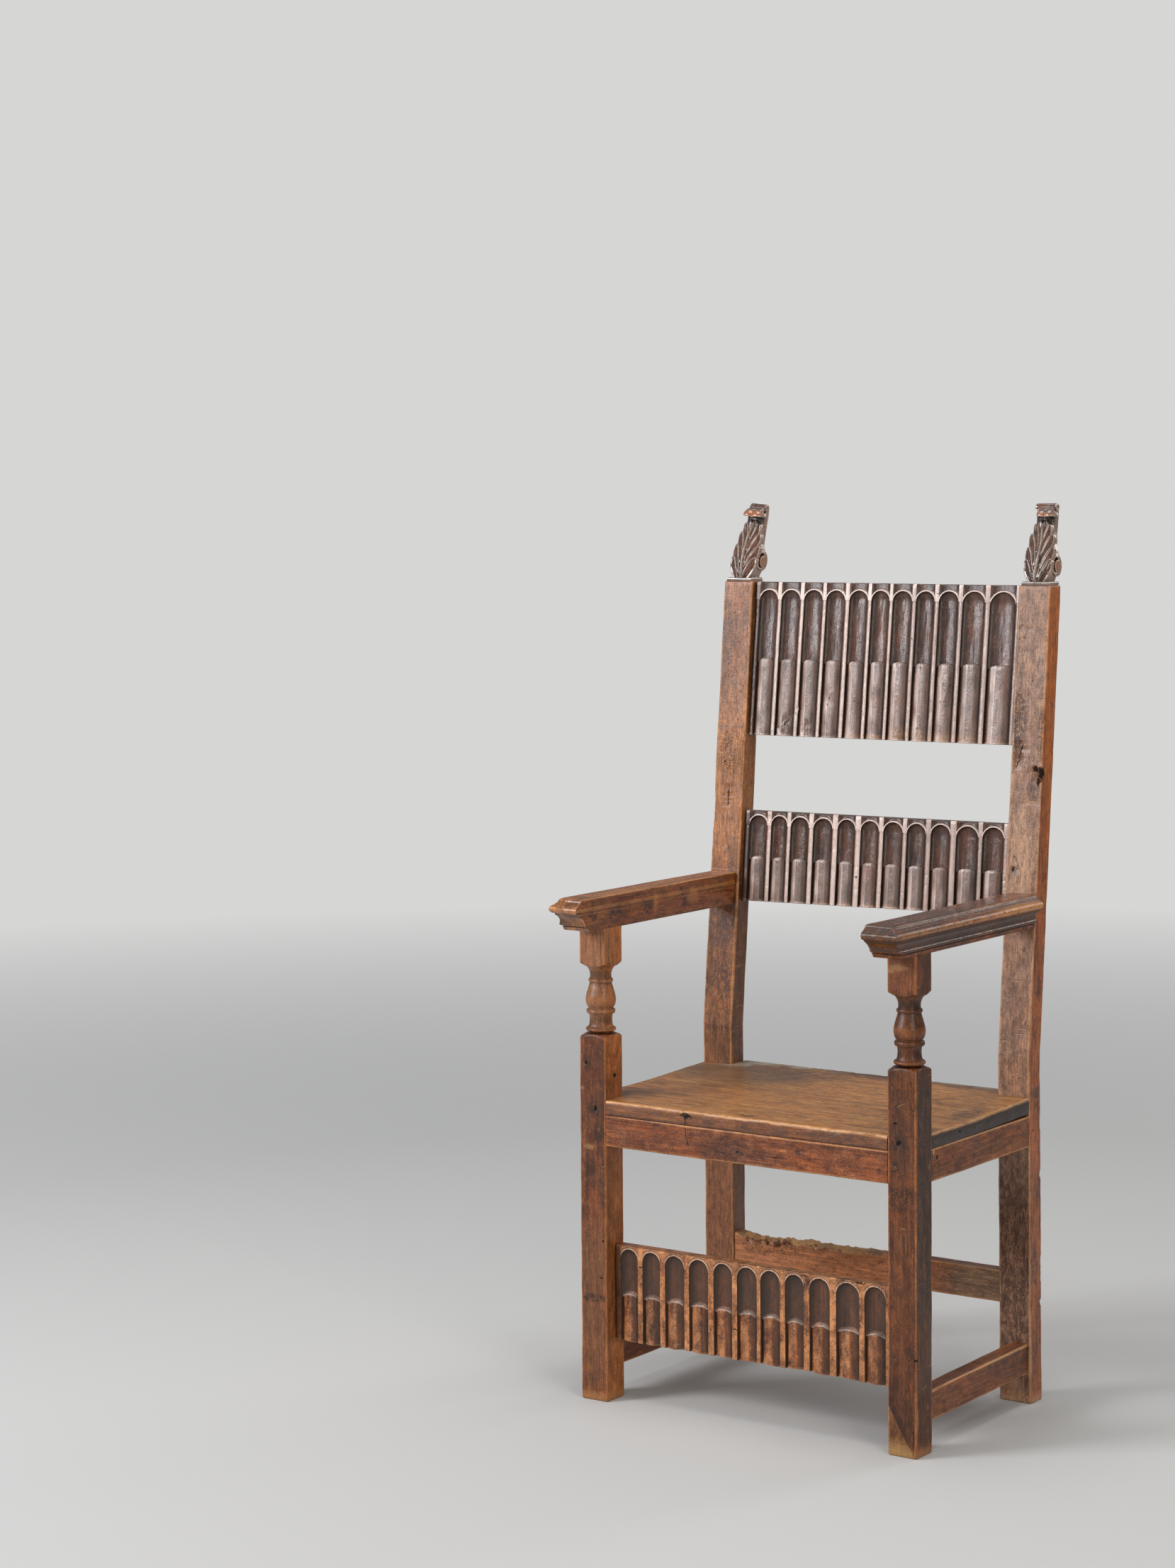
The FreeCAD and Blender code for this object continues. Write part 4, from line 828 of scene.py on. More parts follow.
def rear_post(name, side, seed, node, material, fine, losses):
    """A rear post. fine gives the heights between which its rings lie close, and losses its bites."""
    close = [level for low, high in fine for level in np.arange(low, high, 1.8)]
    z = levels_between(0, post_top, 6, (2.5, 1.5), [bend - 1.5, bend, bend + 1.5] + close)
    x0, x1 = sorted((side * rear_inner, side * half_width))

    def back(level):
        return rear_face(level) + rear_depth - 1.5 * ease(level, bend, post_top)

    def shape(rings, wear_and_highlight, grime):
        wear_and_highlight = np.maximum(wear_and_highlight, ease(rings[..., 2], 22, 0) * 0.6)
        return rings, wear_and_highlight, grime

    timber(name, "z", z, (x0, x1), (rear_face, back), material, [node], seed, radius=1.5,
        worn=1.5, ends=(2.5, 1.5), sides=(19, 9), shape=shape, losses=losses)


rear_post("post_rear_left", -1, 300, "rear_post_left", rear_left, [(860, 935), (992, 1010)],
    [on_rear(-270, 908, 2.2, 10, 22, 3.0), on_rear(-242.5, 960, 4, 30, 60, 1.8),
        on_rear(-297, 880, 4, 20, 30, 1.5), on_rear(-267, 882, 5, 8, 8, 0.7),
        (-242.5, 380, 880, 3, 10, 14, 1.2)])
rear_post("post_rear_right", 1, 400, "rear_post_right", rear_right,
    [(920, 1100), (808, 830), (1145, 1196), (140, 240), (340, 364)],
    [on_rear(257, 1002, 6, 10, 16, 4.5), on_rear(252, 985, 6, 10, 14, 4.5),
        on_rear(294, 964, 9, 9, 11, 7.0), on_rear(286, 972, 6, 9, 6, 4.0),
        on_rear(256, 1050, 14, 10, 46, 0.9), on_rear(283, 922, 15, 8, 3, 1.0),
        on_rear(255, 819, 4.5, 6, 6, 1.6), on_rear(250, 1190, 5, 6, 3, 1.4),
        on_rear(261, 1188, 3, 6, 4, 1.4), on_rear(257, 1155, 2.5, 6, 8, 1.2),
        on_rear(243, 1140, 3, 8, 46, 1.2), on_rear(297, 1040, 3, 8, 60, 1.0), (297, 387, 152, 7, 9, 5, 2.6),
        (297, 387, 205, 5, 8, 22, 1.2), (297, 388, 352, 6, 8, 7, 2.0), (297, 388, 430, 5, 8, 12, 1.3),
        (297, 350, 222, 3, 6, 6, 1.5), (297, 352, 152, 3, 5, 9, 1.4)])

# Rails and stretchers

timber("rail_front", "x", levels_between(-post_inner, post_inner, 6, (0, 0)), (0.4, 27),
    (rail_bottom, board_bottom - 0.6), frame_x, ["front_seat_rail"], 500, worn=1.2,
    ends=(0, 0))
timber("rail_rear", "x", levels_between(-rear_inner, rear_inner, 8, (0, 0)), (353.5, 380.5),
    (rail_bottom, board_bottom - 0.6), frame_x, ["rear_seat_rail"], 520, worn=1.2,
    ends=(0, 0))
for side, word in ((-1, "left"), (1, "right")):
    x0, x1 = sorted((side * 270, side * (half_width - 0.3)))
    timber("rail_side_" + word, "y", levels_between(post_depth, float(rear_face(420)), 7, (0, 0)),
        (rail_bottom, board_bottom - 0.6), (x0, x1), frame_y, ["side_seat_rail_" + word],
        540 + side, worn=1.2, ends=(0, 0))
    x0, x1 = sorted((side * 264.8, side * 292.3))
    timber("stretcher_side_" + word, "y", levels_between(post_depth, float(rear_face(70)), 7, (0, 0)),
           (lambda y: 43.6 + 0.010 * y, lambda y: 89.0 + 0.013 * y),
           (x0, x1), frame_y, ["side_stretcher_" + word], 560 + side, worn=1.6, ends=(0, 0))


def eaten(rings, wear_and_highlight, grime):
    """The rear stretcher's top, eaten away by worms on its left half."""
    x, y, z = rings[..., 0], rings[..., 1], rings[..., 2]
    loss = np.interp(x, [-242, -226, -209, -160, -135, -111, -99, -63, 25, 60, 100],
                     [1, 8, 13, 15, 11, 3, 9, 7, 4.5, 3, 0])
    ragged = 1 + 0.45 * noise(rings, 9, 611) + 0.35 * noise(rings, 4.2, 612) + 0.2 * noise(rings, 2.2, 613)
    loss = loss * ragged * (0.45 + 0.55 * ease(y, 378, 352))
    loss = loss * ease(z, 183, 200)
    grime = np.maximum(grime, ease(loss, 1, 6) * 0.15)
    return rings - np.stack([x * 0, x * 0, loss], -1), wear_and_highlight * ease(loss, 4, 1), grime


rings, marks = timber("stretcher_rear", "x", levels_between(-rear_inner, rear_inner, 2.5, (0, 0)),
    (float(rear_face(176)) + 3, float(rear_face(176)) + 29), (151, 201), None, None, 600, worn=1.2,
    ends=(0, 0), sides=(17, 21), shape=eaten, finish=False)
crest = rings[..., 2].max(axis=1, keepdims=True)
under = crest - rings[..., 2] + 2.6 * noise(rings, 5, 614) + 1.6 * noise(rings, 2.4, 615)
marks["dust"] = (ease(under, 6.0, 3.8) * ease(rings[..., 0], 60, -20) * 0.85).ravel()
make("stretcher_rear", rings.reshape(-1, 3), lofted(rings), frame_x, ["rear_stretcher"],
    marks)

# Carved panels

CREST = [(-230, -197.5), (-189, -155), (-146.5, -113), (-105, -71), (-62, -29.5), (-21.5, 10), (17.5, 51),
    (59.5, 91.5), (100.5, 134), (143, 181), (191, 235)]
BACK = [(-230, -197.5), (-188.5, -160), (-151.5, -119), (-109, -75), (-64, -33), (-21.5, 10), (19.5, 53),
    (62, 94.5), (105, 138), (150, 187.5), (196.5, 232)]
FRONT = [(-236, -206), (-195.5, -165), (-154, -120.5), (-110, -77), (-65.5, -34), (-23.5, 10), (18, 51),
    (61.5, 92.5), (104, 137.5), (150, 188), (198.5, 233)]


def flute_columns(flutes, half, gap, gutter):
    """Columns across a carved panel: where each one is, its flute's number, and its share across the flute.
    The number is -1 on a rib and -2 on the bare strip at the left edge."""
    columns = [(-half, -2, 0), (-half + 0.7, -2, 0), (gap - 0.6, -2, 0), (gap - 0.1, -2, 0)]
    starts = [gap] + [b for _, b in flutes]
    stops = [a for a, _ in flutes] + [half]
    for a, b in zip(starts, stops):
        columns += [(x, -1, 0) for x in [a + 0.5] + list(np.linspace(a, b, 5)[1:-1]) + [b - 0.5]]
    columns += [(gap, -1, 0), (half, -1, 0)]
    for k, (a, b) in enumerate(flutes):
        w = (b - a) / 2
        rod = w - gutter
        left = [0, 0.35, gutter * 0.55, gutter - 0.2, gutter + 0.05, gutter + 0.8]
        left += [w - rod * share for share in (0.87, 0.74, 0.69, 0.50, 0.31, 0.26, 0.1)]
        for d in left + [w] + [2 * w - d for d in left[::-1]]:
            columns.append((a + d, k, (d - w) / w))
    columns.sort()
    x, kind, share = zip(*columns)
    return np.array(x, float), np.array(kind), np.array(share, float), np.array(starts + stops)


def panel_rows(spans, eased):
    """Heights of a carved panel's rows, and the number of the span that each one ends in. A span is a level
    along X and its count of rows, and the rows of the eased one get closer towards its top."""
    rows, band = [spans[0][0]], [0]
    for index, ((a, _), (b, count)) in enumerate(zip(spans, spans[1:])):
        for step in range(1, count + 1):
            share = step / count
            if index == eased:
                share = math.sin(share * math.pi / 2)
            rows.append(a + (b - a) * share)
            band.append(index + 1)
    return np.stack(rows, 1), np.array(band)[None, :]


def flute_depth(where, r2, deep, rough_cut, seed):
    """How deep a flute's gouged hollow lies. r2 is the squared distance from its middle, 1 at its rim."""
    gouge = rough_cut * noise(where, 6, seed + 3, (0.7, 1, 4))
    gouge = gouge + 0.4 * rough_cut * noise(where, 2.6, seed + 4, (1, 1, 2))
    return deep * (1 - r2) ** 0.42 + gouge * np.clip(1 - r2, 0, 1) ** 0.5


def cable_depth(where, rs, tt, lean, rounded, deep, seed):
    """How deep a cable's faceted face lies, with a gully down each side. rs is the share across the cable and
    tt the share across its flute."""
    facet = np.interp(rs, [-1.0, -0.71, -0.28, 0.28, 0.71, 1.0], [4.7, 2.3, 0.6, 0.5, 2.4, 5.0])
    swell = np.clip(noise(where, 17, seed + 22, (0.7, 1, 1.6)), -0.5, 1)
    rod = facet + 0.5 * lean * rs + 0.5 * swell * np.abs(rs)
    rod = rod + (0.20 * noise(where, 7, seed + 6, (1, 1, 2)) + 0.10 * noise(where, 2.6, seed + 7))
    rod = rod + 1.3 * rounded
    gully = np.where(np.abs(tt) > 0.995, 0.3, deep * 0.86)
    return np.where(np.abs(rs) > 1.02, gully, np.minimum(rod, deep * 0.86))


def cable_wear_and_highlight(where, rs, bright, hollowed, seed):
    """Wear and painted highlights on a cable's facets: the lit left facet and the face-on ones are painted
    highlights, the arrises rubbed wear.
    """
    if not hollowed:
        lit = 0.45 + 0.7 * noise(where, 11, seed + 23, (0.7, 1, 1.8)) + 0.35 * noise(where, 4, seed + 24)
        return 0.85 * ease(-rs, -0.34, -0.1) * ease(rs, -0.95, -0.6) * np.clip(lit, 0, 1)
    face_on = ease(1 - np.abs(rs), 0.24, 0.34) * bright
    chips = 0.68 + 0.5 * noise(where, 8, seed + 17, (0.8, 1, 3))
    left_facet = ease(-rs, 0.26, 0.31) * ease(rs, -0.74, -0.69)
    on_arris = np.isclose(np.abs(rs), 0.31, atol=0.03) | np.isclose(np.abs(rs), 0.74, atol=0.03)
    return (0.34 * face_on + 0.75 * left_facet * bright + 0.35 * on_arris) * chips


def cable_dirt_and_shade(where, rs, hollowed, seed):
    """Painted shade on a cable, most towards its right side and in the gullies, with patches of dirt on the
    front stretcher's cables.
    """
    if hollowed:
        turned = 0.42 * ease(rs, 0.66, 0.76) + 0.26 * ease(rs, 0.24, 0.34) + 0.25 * ease(-rs, 0.7, 0.9)
    else:
        turned = 0.6 * ease(rs, 0.15, 0.8) + 0.25 * ease(-rs, 0.75, 1.0)
        turned = turned + 0.3 * np.clip(noise(where, 9, seed + 25, (0.8, 1, 2)), 0, 1)
    return np.where(np.abs(rs) > 1.01, 1.0, turned)


def carved(name, node, flutes, half, gap, low, high, crown, cable, deep, setback, thick, face, seed,
        material, slip=0.0, hollowed=True, dusty=0.0, end_rise=0.9, gutter=1.2, widen=0.5, rough_cut=0.45,
        pits=()):
    """A panel carved with flutes under round arches, each stopped below by a cable.
    crown gives the height of the arches' tops and cable that of the cables' tops, along X. gap is where the
    bare strip at its left edge starts, slip how far its lower end stands to the left, and end_rise the slope
    of the cables' ends."""
    flutes = [(a - widen, b + widen) for a, b in flutes]
    x, kind, own_share, rib_edges = flute_columns(flutes, half, gap, gutter)
    inside = kind >= 0
    centre = np.array([(a + b) / 2 for a, b in flutes])
    halves = np.array([(b - a) / 2 for a, b in flutes])
    near = np.argmin(np.abs(x[:, None] - centre[None, :]) - halves[None, :], axis=1)
    w = halves[near]
    t = np.where(inside, own_share, (x - centre[near]) / w)
    jitter = wobble(near * 7.3, 1.0, seed + 1)
    round_top = np.sqrt(np.clip(1 - t * t, 0, 1))
    spring = crown(x) + jitter * 0.7 - 1.6 - w
    rim = 1.6
    z_low, z_high = low(x), high(x)
    arch = spring + w * round_top
    out_t = np.clip((x - centre[near]) / (w + rim), -1, 1)
    outer = spring + (w + rim) * np.sqrt(1 - out_t ** 2)
    if not hollowed:
        outer = outer + 0.7 * wobble(x, 3.1, seed + 19)
        arch = arch + 0.5 * wobble(x, 4.3, seed + 20)
    outer = np.minimum(np.maximum(outer, arch + 0.3), z_high - 0.8)
    arch = np.minimum(arch, outer - 0.25)
    shoulder = crown(x) - 17.0
    arch = np.where(inside, arch, shoulder - 0.4)
    outer = np.where(inside, outer, shoulder)
    rod_share = np.clip(np.abs(t) * w / (w - gutter), 0, 1.15)
    top_of_cable = cable(x) + wobble(near * 3.1, 1.0, seed + 2) * 1.3
    stop = top_of_cable - 6.0 * np.minimum(rod_share, 1) ** 2.4
    spans = [(z_low, 0), (z_low + 0.9, 1), (stop - 0.15, 44), (stop + end_rise, 2), (arch, 34), (outer, 2),
        (z_high - 1.0, 5), (z_high, 1)]
    z, band = panel_rows(spans, 3)
    row = np.ones_like(z)
    xx, tt, ww = x[:, None] * row, t[:, None] * row, w[:, None] * row
    into = (inside[:, None] * row) > 0
    where = np.stack([xx, near[:, None] * 50.0 * row, z], -1)
    up = np.clip((z - spring[:, None]) / ww, 0, 1)
    r2 = np.clip(tt ** 2 + up ** 2, 0, 1)
    groove = flute_depth(where, r2, deep, rough_cut, seed)
    lean = 0.13 * wobble(near * 5.7, 1.0, seed + 5)[:, None] + 0.07 * noise(where * (0, 1, 1), 34, seed + 15)
    rs = tt * ww / (ww - gutter)
    rounded = ease(z, top_of_cable[:, None] - 4, top_of_cable[:, None] + 1)
    rod = cable_depth(where, rs, tt, lean, rounded, deep, seed)
    sway = 4.2 * lean * (ww - gutter) / 14 * (1 - np.clip(rs, -1, 1) ** 2)
    sway = np.where(into & (band <= 2) & (np.abs(rs) < 1), sway, 0)
    sway = sway * ease(z, stop[:, None], stop[:, None] - 9)
    hollow_t = np.clip(np.abs(xx - centre[near][:, None]) / ww, 0, 1)
    hollow = 4.6 * np.sqrt(1 - hollow_t ** 2.6) * ease(z - outer[:, None], -0.1, 1.4)
    below, flute, crest_band = band <= 2, (band == 3) | (band == 4), band >= 6
    depth = np.where(into & below, rod, 0.0)
    depth = np.where(into & flute, groove, depth)
    if hollowed:
        depth = np.where(into & crest_band, hollow, depth)
    else:
        off = np.hypot(xx - centre[near][:, None], np.maximum(z - spring[:, None], 0)) - ww
        ring = 1.4 * np.clip(1 - np.abs(off - 3.0) / 1.3, 0, 1)
        depth = np.where(crest_band & (z > spring[:, None]), ring, depth)
    surface = ~into | (band == 5)
    depth = depth + np.where(surface, 0.2 + 0.2 * noise(where, 9, seed + 8, (1, 1, 3)), 0)
    rib_edge = np.where(kind[:, None] == -1, 1.0, 0) * row
    nearest = np.min(np.abs(x[:, None] - rib_edges[None, :]), axis=1)[:, None] * row
    depth = depth + rib_edge * 0.5 * ease(nearest, 0.9, 0)
    if hollowed:
        depth = depth + rib_edge * np.where(band <= 4, 0.8 + 0.7 * ease(nearest, 1.8, 0.2), 0)
    depth = np.where(kind[:, None] == -2, 5.0, depth)
    depth = depth + 0.35 * (1 + noise(where * (1, 0, 1), 50, seed + 9))
    depth[:, 0] += 0.9
    depth[:, -1] += 0.9
    depth = depth + np.clip(noise(where, 5, seed + 10) - 0.3, 0, 1) * 0.9 * rib_edge
    torn = 0.5 + 0.7 * noise(where, 5, seed + 11) + 0.5 * noise(where, 2.4, seed + 13)
    for px, pz, sx, sz, how_deep in pits:
        bowl = np.clip(1 - ((xx - px) / sx) ** 2 - ((z - pz) / sz) ** 2, 0, 1)
        depth = depth + how_deep * bowl ** 0.7 * np.clip(torn, 0, 1.6)
    # The ribs' pale tone is rubbed wear and a painted sheen; on the crest and back rail it is paler to the
    # left.
    wear_and_highlight = np.where(~into, 0.95, 0.0) * row
    if hollowed:
        uneven = 1.12 - 0.40 * ease(xx, -20, 90) + 0.12 * noise(where, 16, seed + 18, (1, 1, 2))
        wear_and_highlight = np.where(~into & (band <= 4), 0.85, wear_and_highlight) * uneven
    else:
        uneven = 0.72 + 0.55 * noise(where, 13, seed + 26, (0.6, 1, 1.5)) + 0.4 * noise(where, 4.5, seed + 27)
        wear_and_highlight = wear_and_highlight * np.clip(uneven, 0.15, 1.05)
    wear_and_highlight = np.where(((x < flutes[0][0]) & ~inside)[:, None], 0.12, wear_and_highlight)
    wear_and_highlight = np.where(into & (band == 5), 1.0, wear_and_highlight)
    if not hollowed:
        wear_and_highlight = np.where(into & (band >= 6), 0.75, wear_and_highlight)
    bright = 0.7 + 0.3 * wobble(near * 9.1, 1.0, seed + 16)[:, None]
    wear_and_highlight = np.where(into & below, cable_wear_and_highlight(where, rs, bright, hollowed, seed), wear_and_highlight)
    wear_and_highlight = np.where(z - z_low[:, None] < 2.5, np.maximum(wear_and_highlight, 0.6), wear_and_highlight)
    # Painted shade: the flutes darken towards their edges and up under their arches, and the gap at the left
    # edge is nearly black. The sunk hollow above each arch and the strip at the left edge are darker too.
    floor_dark = 0.12 if hollowed else 0.6
    dark = np.where(into & flute, floor_dark + 0.75 * np.abs(tt) ** 2.2 + 0.35 * up ** 2, 0)
    dark = np.where(into & below, cable_dirt_and_shade(where, rs, hollowed, seed), dark)
    dark = np.where(into & crest_band & (depth > 0.8), 0.5, dark)
    dark = np.where(((x < flutes[0][0]) & ~inside)[:, None], 0.45, dark)
    dark = np.where(kind[:, None] == -2, 1.0, dark)
    wear_and_highlight = np.where((z_high[:, None] - z < 2.2) & ~into, 1.0, wear_and_highlight)
    end = into & (band == 3) & (np.abs(rs) < 1.0)
    rim_row = into & (band == 2) & (z > stop[:, None] - 0.3) & (np.abs(rs) < 1.0)
    rim_dust = 0.75 + 0.4 * noise(where, 4, seed + 21)
    pale = (np.where(end, 0.25, 0) + np.where(rim_row, 1.0, 0) * rim_dust) * dusty
    dark = np.where((end | rim_row) & (dusty > 0), 0, dark)
    if not hollowed:
        pale = np.maximum(pale, 0.5 * dusty * np.where(into & (band == 5), 1, 0))
    fixed = (kind[:, None] == -2) | (np.abs(xx) >= half)
    leant = slip * np.clip((z_high[:, None] - z) / 240, 0, 1) * np.where(fixed, 0, 1)

    def place(u, v, level):
        i, j = u.astype(int), v.astype(int)
        heights = z[i, j]
        d = depth[i, j] * (level == 0) + thick * level
        if level == 1:
            d = d + 0.5 * noise(np.stack([x[i], heights * 0, heights], -1), 30, seed + 12) - 0.5
        across = x[i] + leant[i, j] + sway[i, j] * (level == 0)
        return np.stack([across, face(heights) + setback + d, heights], -1)

    keep = np.ones((len(x) - 1, z.shape[1] - 1), bool)
    points, faces, _ = slab(np.arange(len(x)), np.arange(z.shape[1]), keep, [0, 0.5, 1], place)
    on_top = (np.arange(len(points)) >= z.size) & (points[:, 2] > z_high.mean() - 3)
    marks = {}
    for key, carved_face, elsewhere, top in (("wear_and_highlight", wear_and_highlight, 0.3, 0.15 if hollowed else 0.75),
                                             ("grime", dark, 0.12, 0.35 if hollowed else 0.0),
                                             ("dust", pale, 0.0, 0.0)):
        marks[key] = np.full(len(points), elsewhere)
        marks[key][:z.size] = carved_face.ravel()
        marks[key][on_top] = top
    return make(name, points, faces, material, [node], marks, sharp=38)


def flat(value):
    """The same height all along X."""
    return lambda x: np.full_like(np.asarray(x, float), value)


def slope(x0, a, x1, b):
    """A height that runs from a at x0 to b at x1."""
    return lambda x: a + (np.asarray(x, float) - x0) * (b - a) / (x1 - x0)


carved("panel_crest", "crest_rail", CREST, rear_inner, -238, slope(-242, 1005.8, 242, 1007.8), flat(1253.4),
    slope(-242, 1242.2, 242, 1244.8), flat(1130), 9.0, 6.4, 13.0, rear_face, 700, panel, slip=-3.0,
    pits=[(-168, 1030, 9, 12, 3.0), (-157, 1043, 8, 8, 3.0), (-148, 1052, 6, 6, 2.4),
    (-178, 1016, 9, 9, 3.0), (-133, 1022, 11, 12, 2.4), (-130, 1012, 12, 6, 2.4), (-100, 1010, 14, 4, 1.6),
    (60, 1010, 30, 4, 1.2), (29, 1123, 4, 6, 1.2), (68, 1118, 7, 9, 1.4), (-163, 1107, 5, 3, 0.8)])
carved("panel_back", "back_rail", BACK, rear_inner, -238, slope(-242, 738.5, 107, 744.5),
    slope(-242, 884, 242, 887.6), slope(-242, 878.5, 242, 882.6), slope(-242, 811, 242, 815), 9.0, 6.4,
    13.0, rear_face, 720, panel, gutter=1.4)
carved("panel_front", "front_stretcher", FRONT, post_inner, -245.5,
    lambda x: 94.6 + 1.2 * wobble(x, 24, 3) + 2 * ease(x, 40, 90) * ease(x, 140, 100), flat(242.4),
    flat(239.4), flat(168.5), 8.0, 20.0, 21.5, lambda z: z * 0, 740, panel_low, hollowed=False, dusty=1.0,
    end_rise=1.3, gutter=1.2, rough_cut=0.4, pits=[(-29, 140, 4, 2, 2.5), (66, 103, 4, 4, 2.0),
    (-200, 213, 4, 3, 1.0)])

# Seat board


def board_top(u, v):
    """Height of the seat board's worn top, which rises towards the back."""
    p = np.stack([u, v, u * 0], -1)
    rise = 6.0 * ease(v, 150, 385)
    return seat_top - 0.9 + rise + 0.5 * noise(p, 55, 802, (3, 1, 1)) + 0.12 * noise(p, 12, 803, (4, 1, 1))


def seat_board():
    """The seat board, notched round the posts, with a worn top and ragged edges."""
    gap = 0.3
    ramp_in = [0, 0.5, 1.5, 3.5, 6.5]
    across = [half_width - d for d in ramp_in] + [post_inner - gap, rear_inner - gap]
    xs = np.concatenate([np.linspace(-290, 290, 117), across, [-x for x in across]])
    along = ramp_in + [seat_back - d for d in ramp_in] + [post_depth + gap, rear_front - gap]
    ys = np.concatenate([np.linspace(7, 387, 80), along])
    xs, ys = np.unique(xs.round(3)), np.unique(ys.round(3))
    mid_x = np.abs((xs[1:] + xs[:-1]) / 2)[:, None]
    mid_y = ((ys[1:] + ys[:-1]) / 2)[None, :]
    front_notch = (mid_x > post_inner - gap) & (mid_y < post_depth + gap)
    keep = ~(front_notch | ((mid_x > rear_inner - gap) & (mid_y > rear_front - gap)))

    def place(u, v, level):
        p = np.stack([u, v, u * 0], -1)
        to_edge = np.minimum(np.minimum(half_width - np.abs(u), v), seat_back - v)
        r = 4.2 + 1.4 * noise(p, 40, 801)
        near = np.clip(r - to_edge, 0, r)
        drop = 0.75 * (r - np.sqrt(r * r - near * near))
        rise = 6.0 * ease(v, 150, 385)
        top = board_top(u, v) - drop
        top = top - 1.6 * np.clip(noise(p, 7, 804) - 0.3, 0, 1) * ease(to_edge, 7, 2)
        low = board_bottom + 0.2 + rise * 0.5
        heights = top + (low - top) * level
        side = 0.5 * math.sin(math.pi * level) - 0.4
        ragged = 2.6 * np.clip(noise(p, 13, 806) + 0.1, 0, 1) + 1.0 * np.clip(noise(p, 4, 807), 0, 1)
        grow = side + 0.35 * noise(p + (0, 0, level * 23), 9, 805, (2, 2, 1))
        x = u + np.where(np.abs(u) > half_width - 0.01, np.sign(u) * grow, 0)
        y = v - np.where(v < 0.01, grow, 0) + np.where(v > seat_back - 0.01, grow - ragged, 0)
        return np.stack([x, y, heights], -1)

    levels = [0, 0.12, 0.3, 0.55, 0.8, 0.94, 1]
    points, faces, level_of = slab(xs, ys, keep, levels, place)
    u, v = points[:, 0], points[:, 1]
    to_edge = np.minimum(np.minimum(half_width - np.abs(u), v), seat_back - v)
    wear_and_highlight = ease(to_edge, 5, 1.5) * (level_of < 0.1) * 0.9
    grime = ease(v, 352, 386) * (level_of == 0) * 0.5
    grime = np.maximum(grime, (level_of > 0.05) * (np.abs(u) > half_width - 2) * 0.55)
    grime = np.maximum(grime, ease(np.hypot(np.abs(u) - 262, v - 60), 34, 12) * 0.6 * (level_of == 0))
    grime = np.maximum(grime, (level_of > 0.9) * 0.5)
    flat_at = np.stack([u, v, u * 0], -1)
    crumbs = noise(flat_at, 11, 808, (2, 1, 1)) + 0.6 * noise(flat_at, 4.5, 809)
    drifts = ease(noise(flat_at, 34, 810, (2, 1, 1)), -0.5, 0.2)
    dust = ease(v + 10 * crumbs, 368, 384) * (level_of < 0.2) * drifts * 0.9
    dust = np.maximum(dust, ease(np.hypot((u + 236) / 1.5, v - 352), 26, 12) * (level_of == 0) * 0.7)
    marks = {"wear_and_highlight": wear_and_highlight, "grime": grime, "dust": dust}
    return make("board", points, faces, seat_wood, ["seat_board"], marks, sharp=50)


seat_board()

# Arms

# The arm's moulding from the top down: shares of its height, and of the recess outwards
ARM_PROFILE = [(0.000, -0.02), (0.010, 0.03), (0.030, 0.07), (0.060, 0.09), (0.075, 0.13), (0.110, 0.30),
    (0.150, 0.48), (0.170, 0.55), (0.180, 0.66), (0.200, 0.80), (0.235, 0.93), (0.275, 0.99), (0.310, 1.00),
    (0.345, 0.97), (0.385, 0.87), (0.415, 0.72), (0.430, 0.60), (0.434, 0.46), (0.500, 0.45), (0.506, 0.38),
    (0.540, 0.26), (0.590, 0.15), (0.650, 0.10), (0.745, 0.10), (0.760, 0.15), (0.785, 0.21), (0.810, 0.22),
    (0.835, 0.18), (0.850, 0.08), (0.855, 0.00), (0.882, 0.00), (0.886, 0.08), (0.985, 0.08), (1.000, 0.02)]


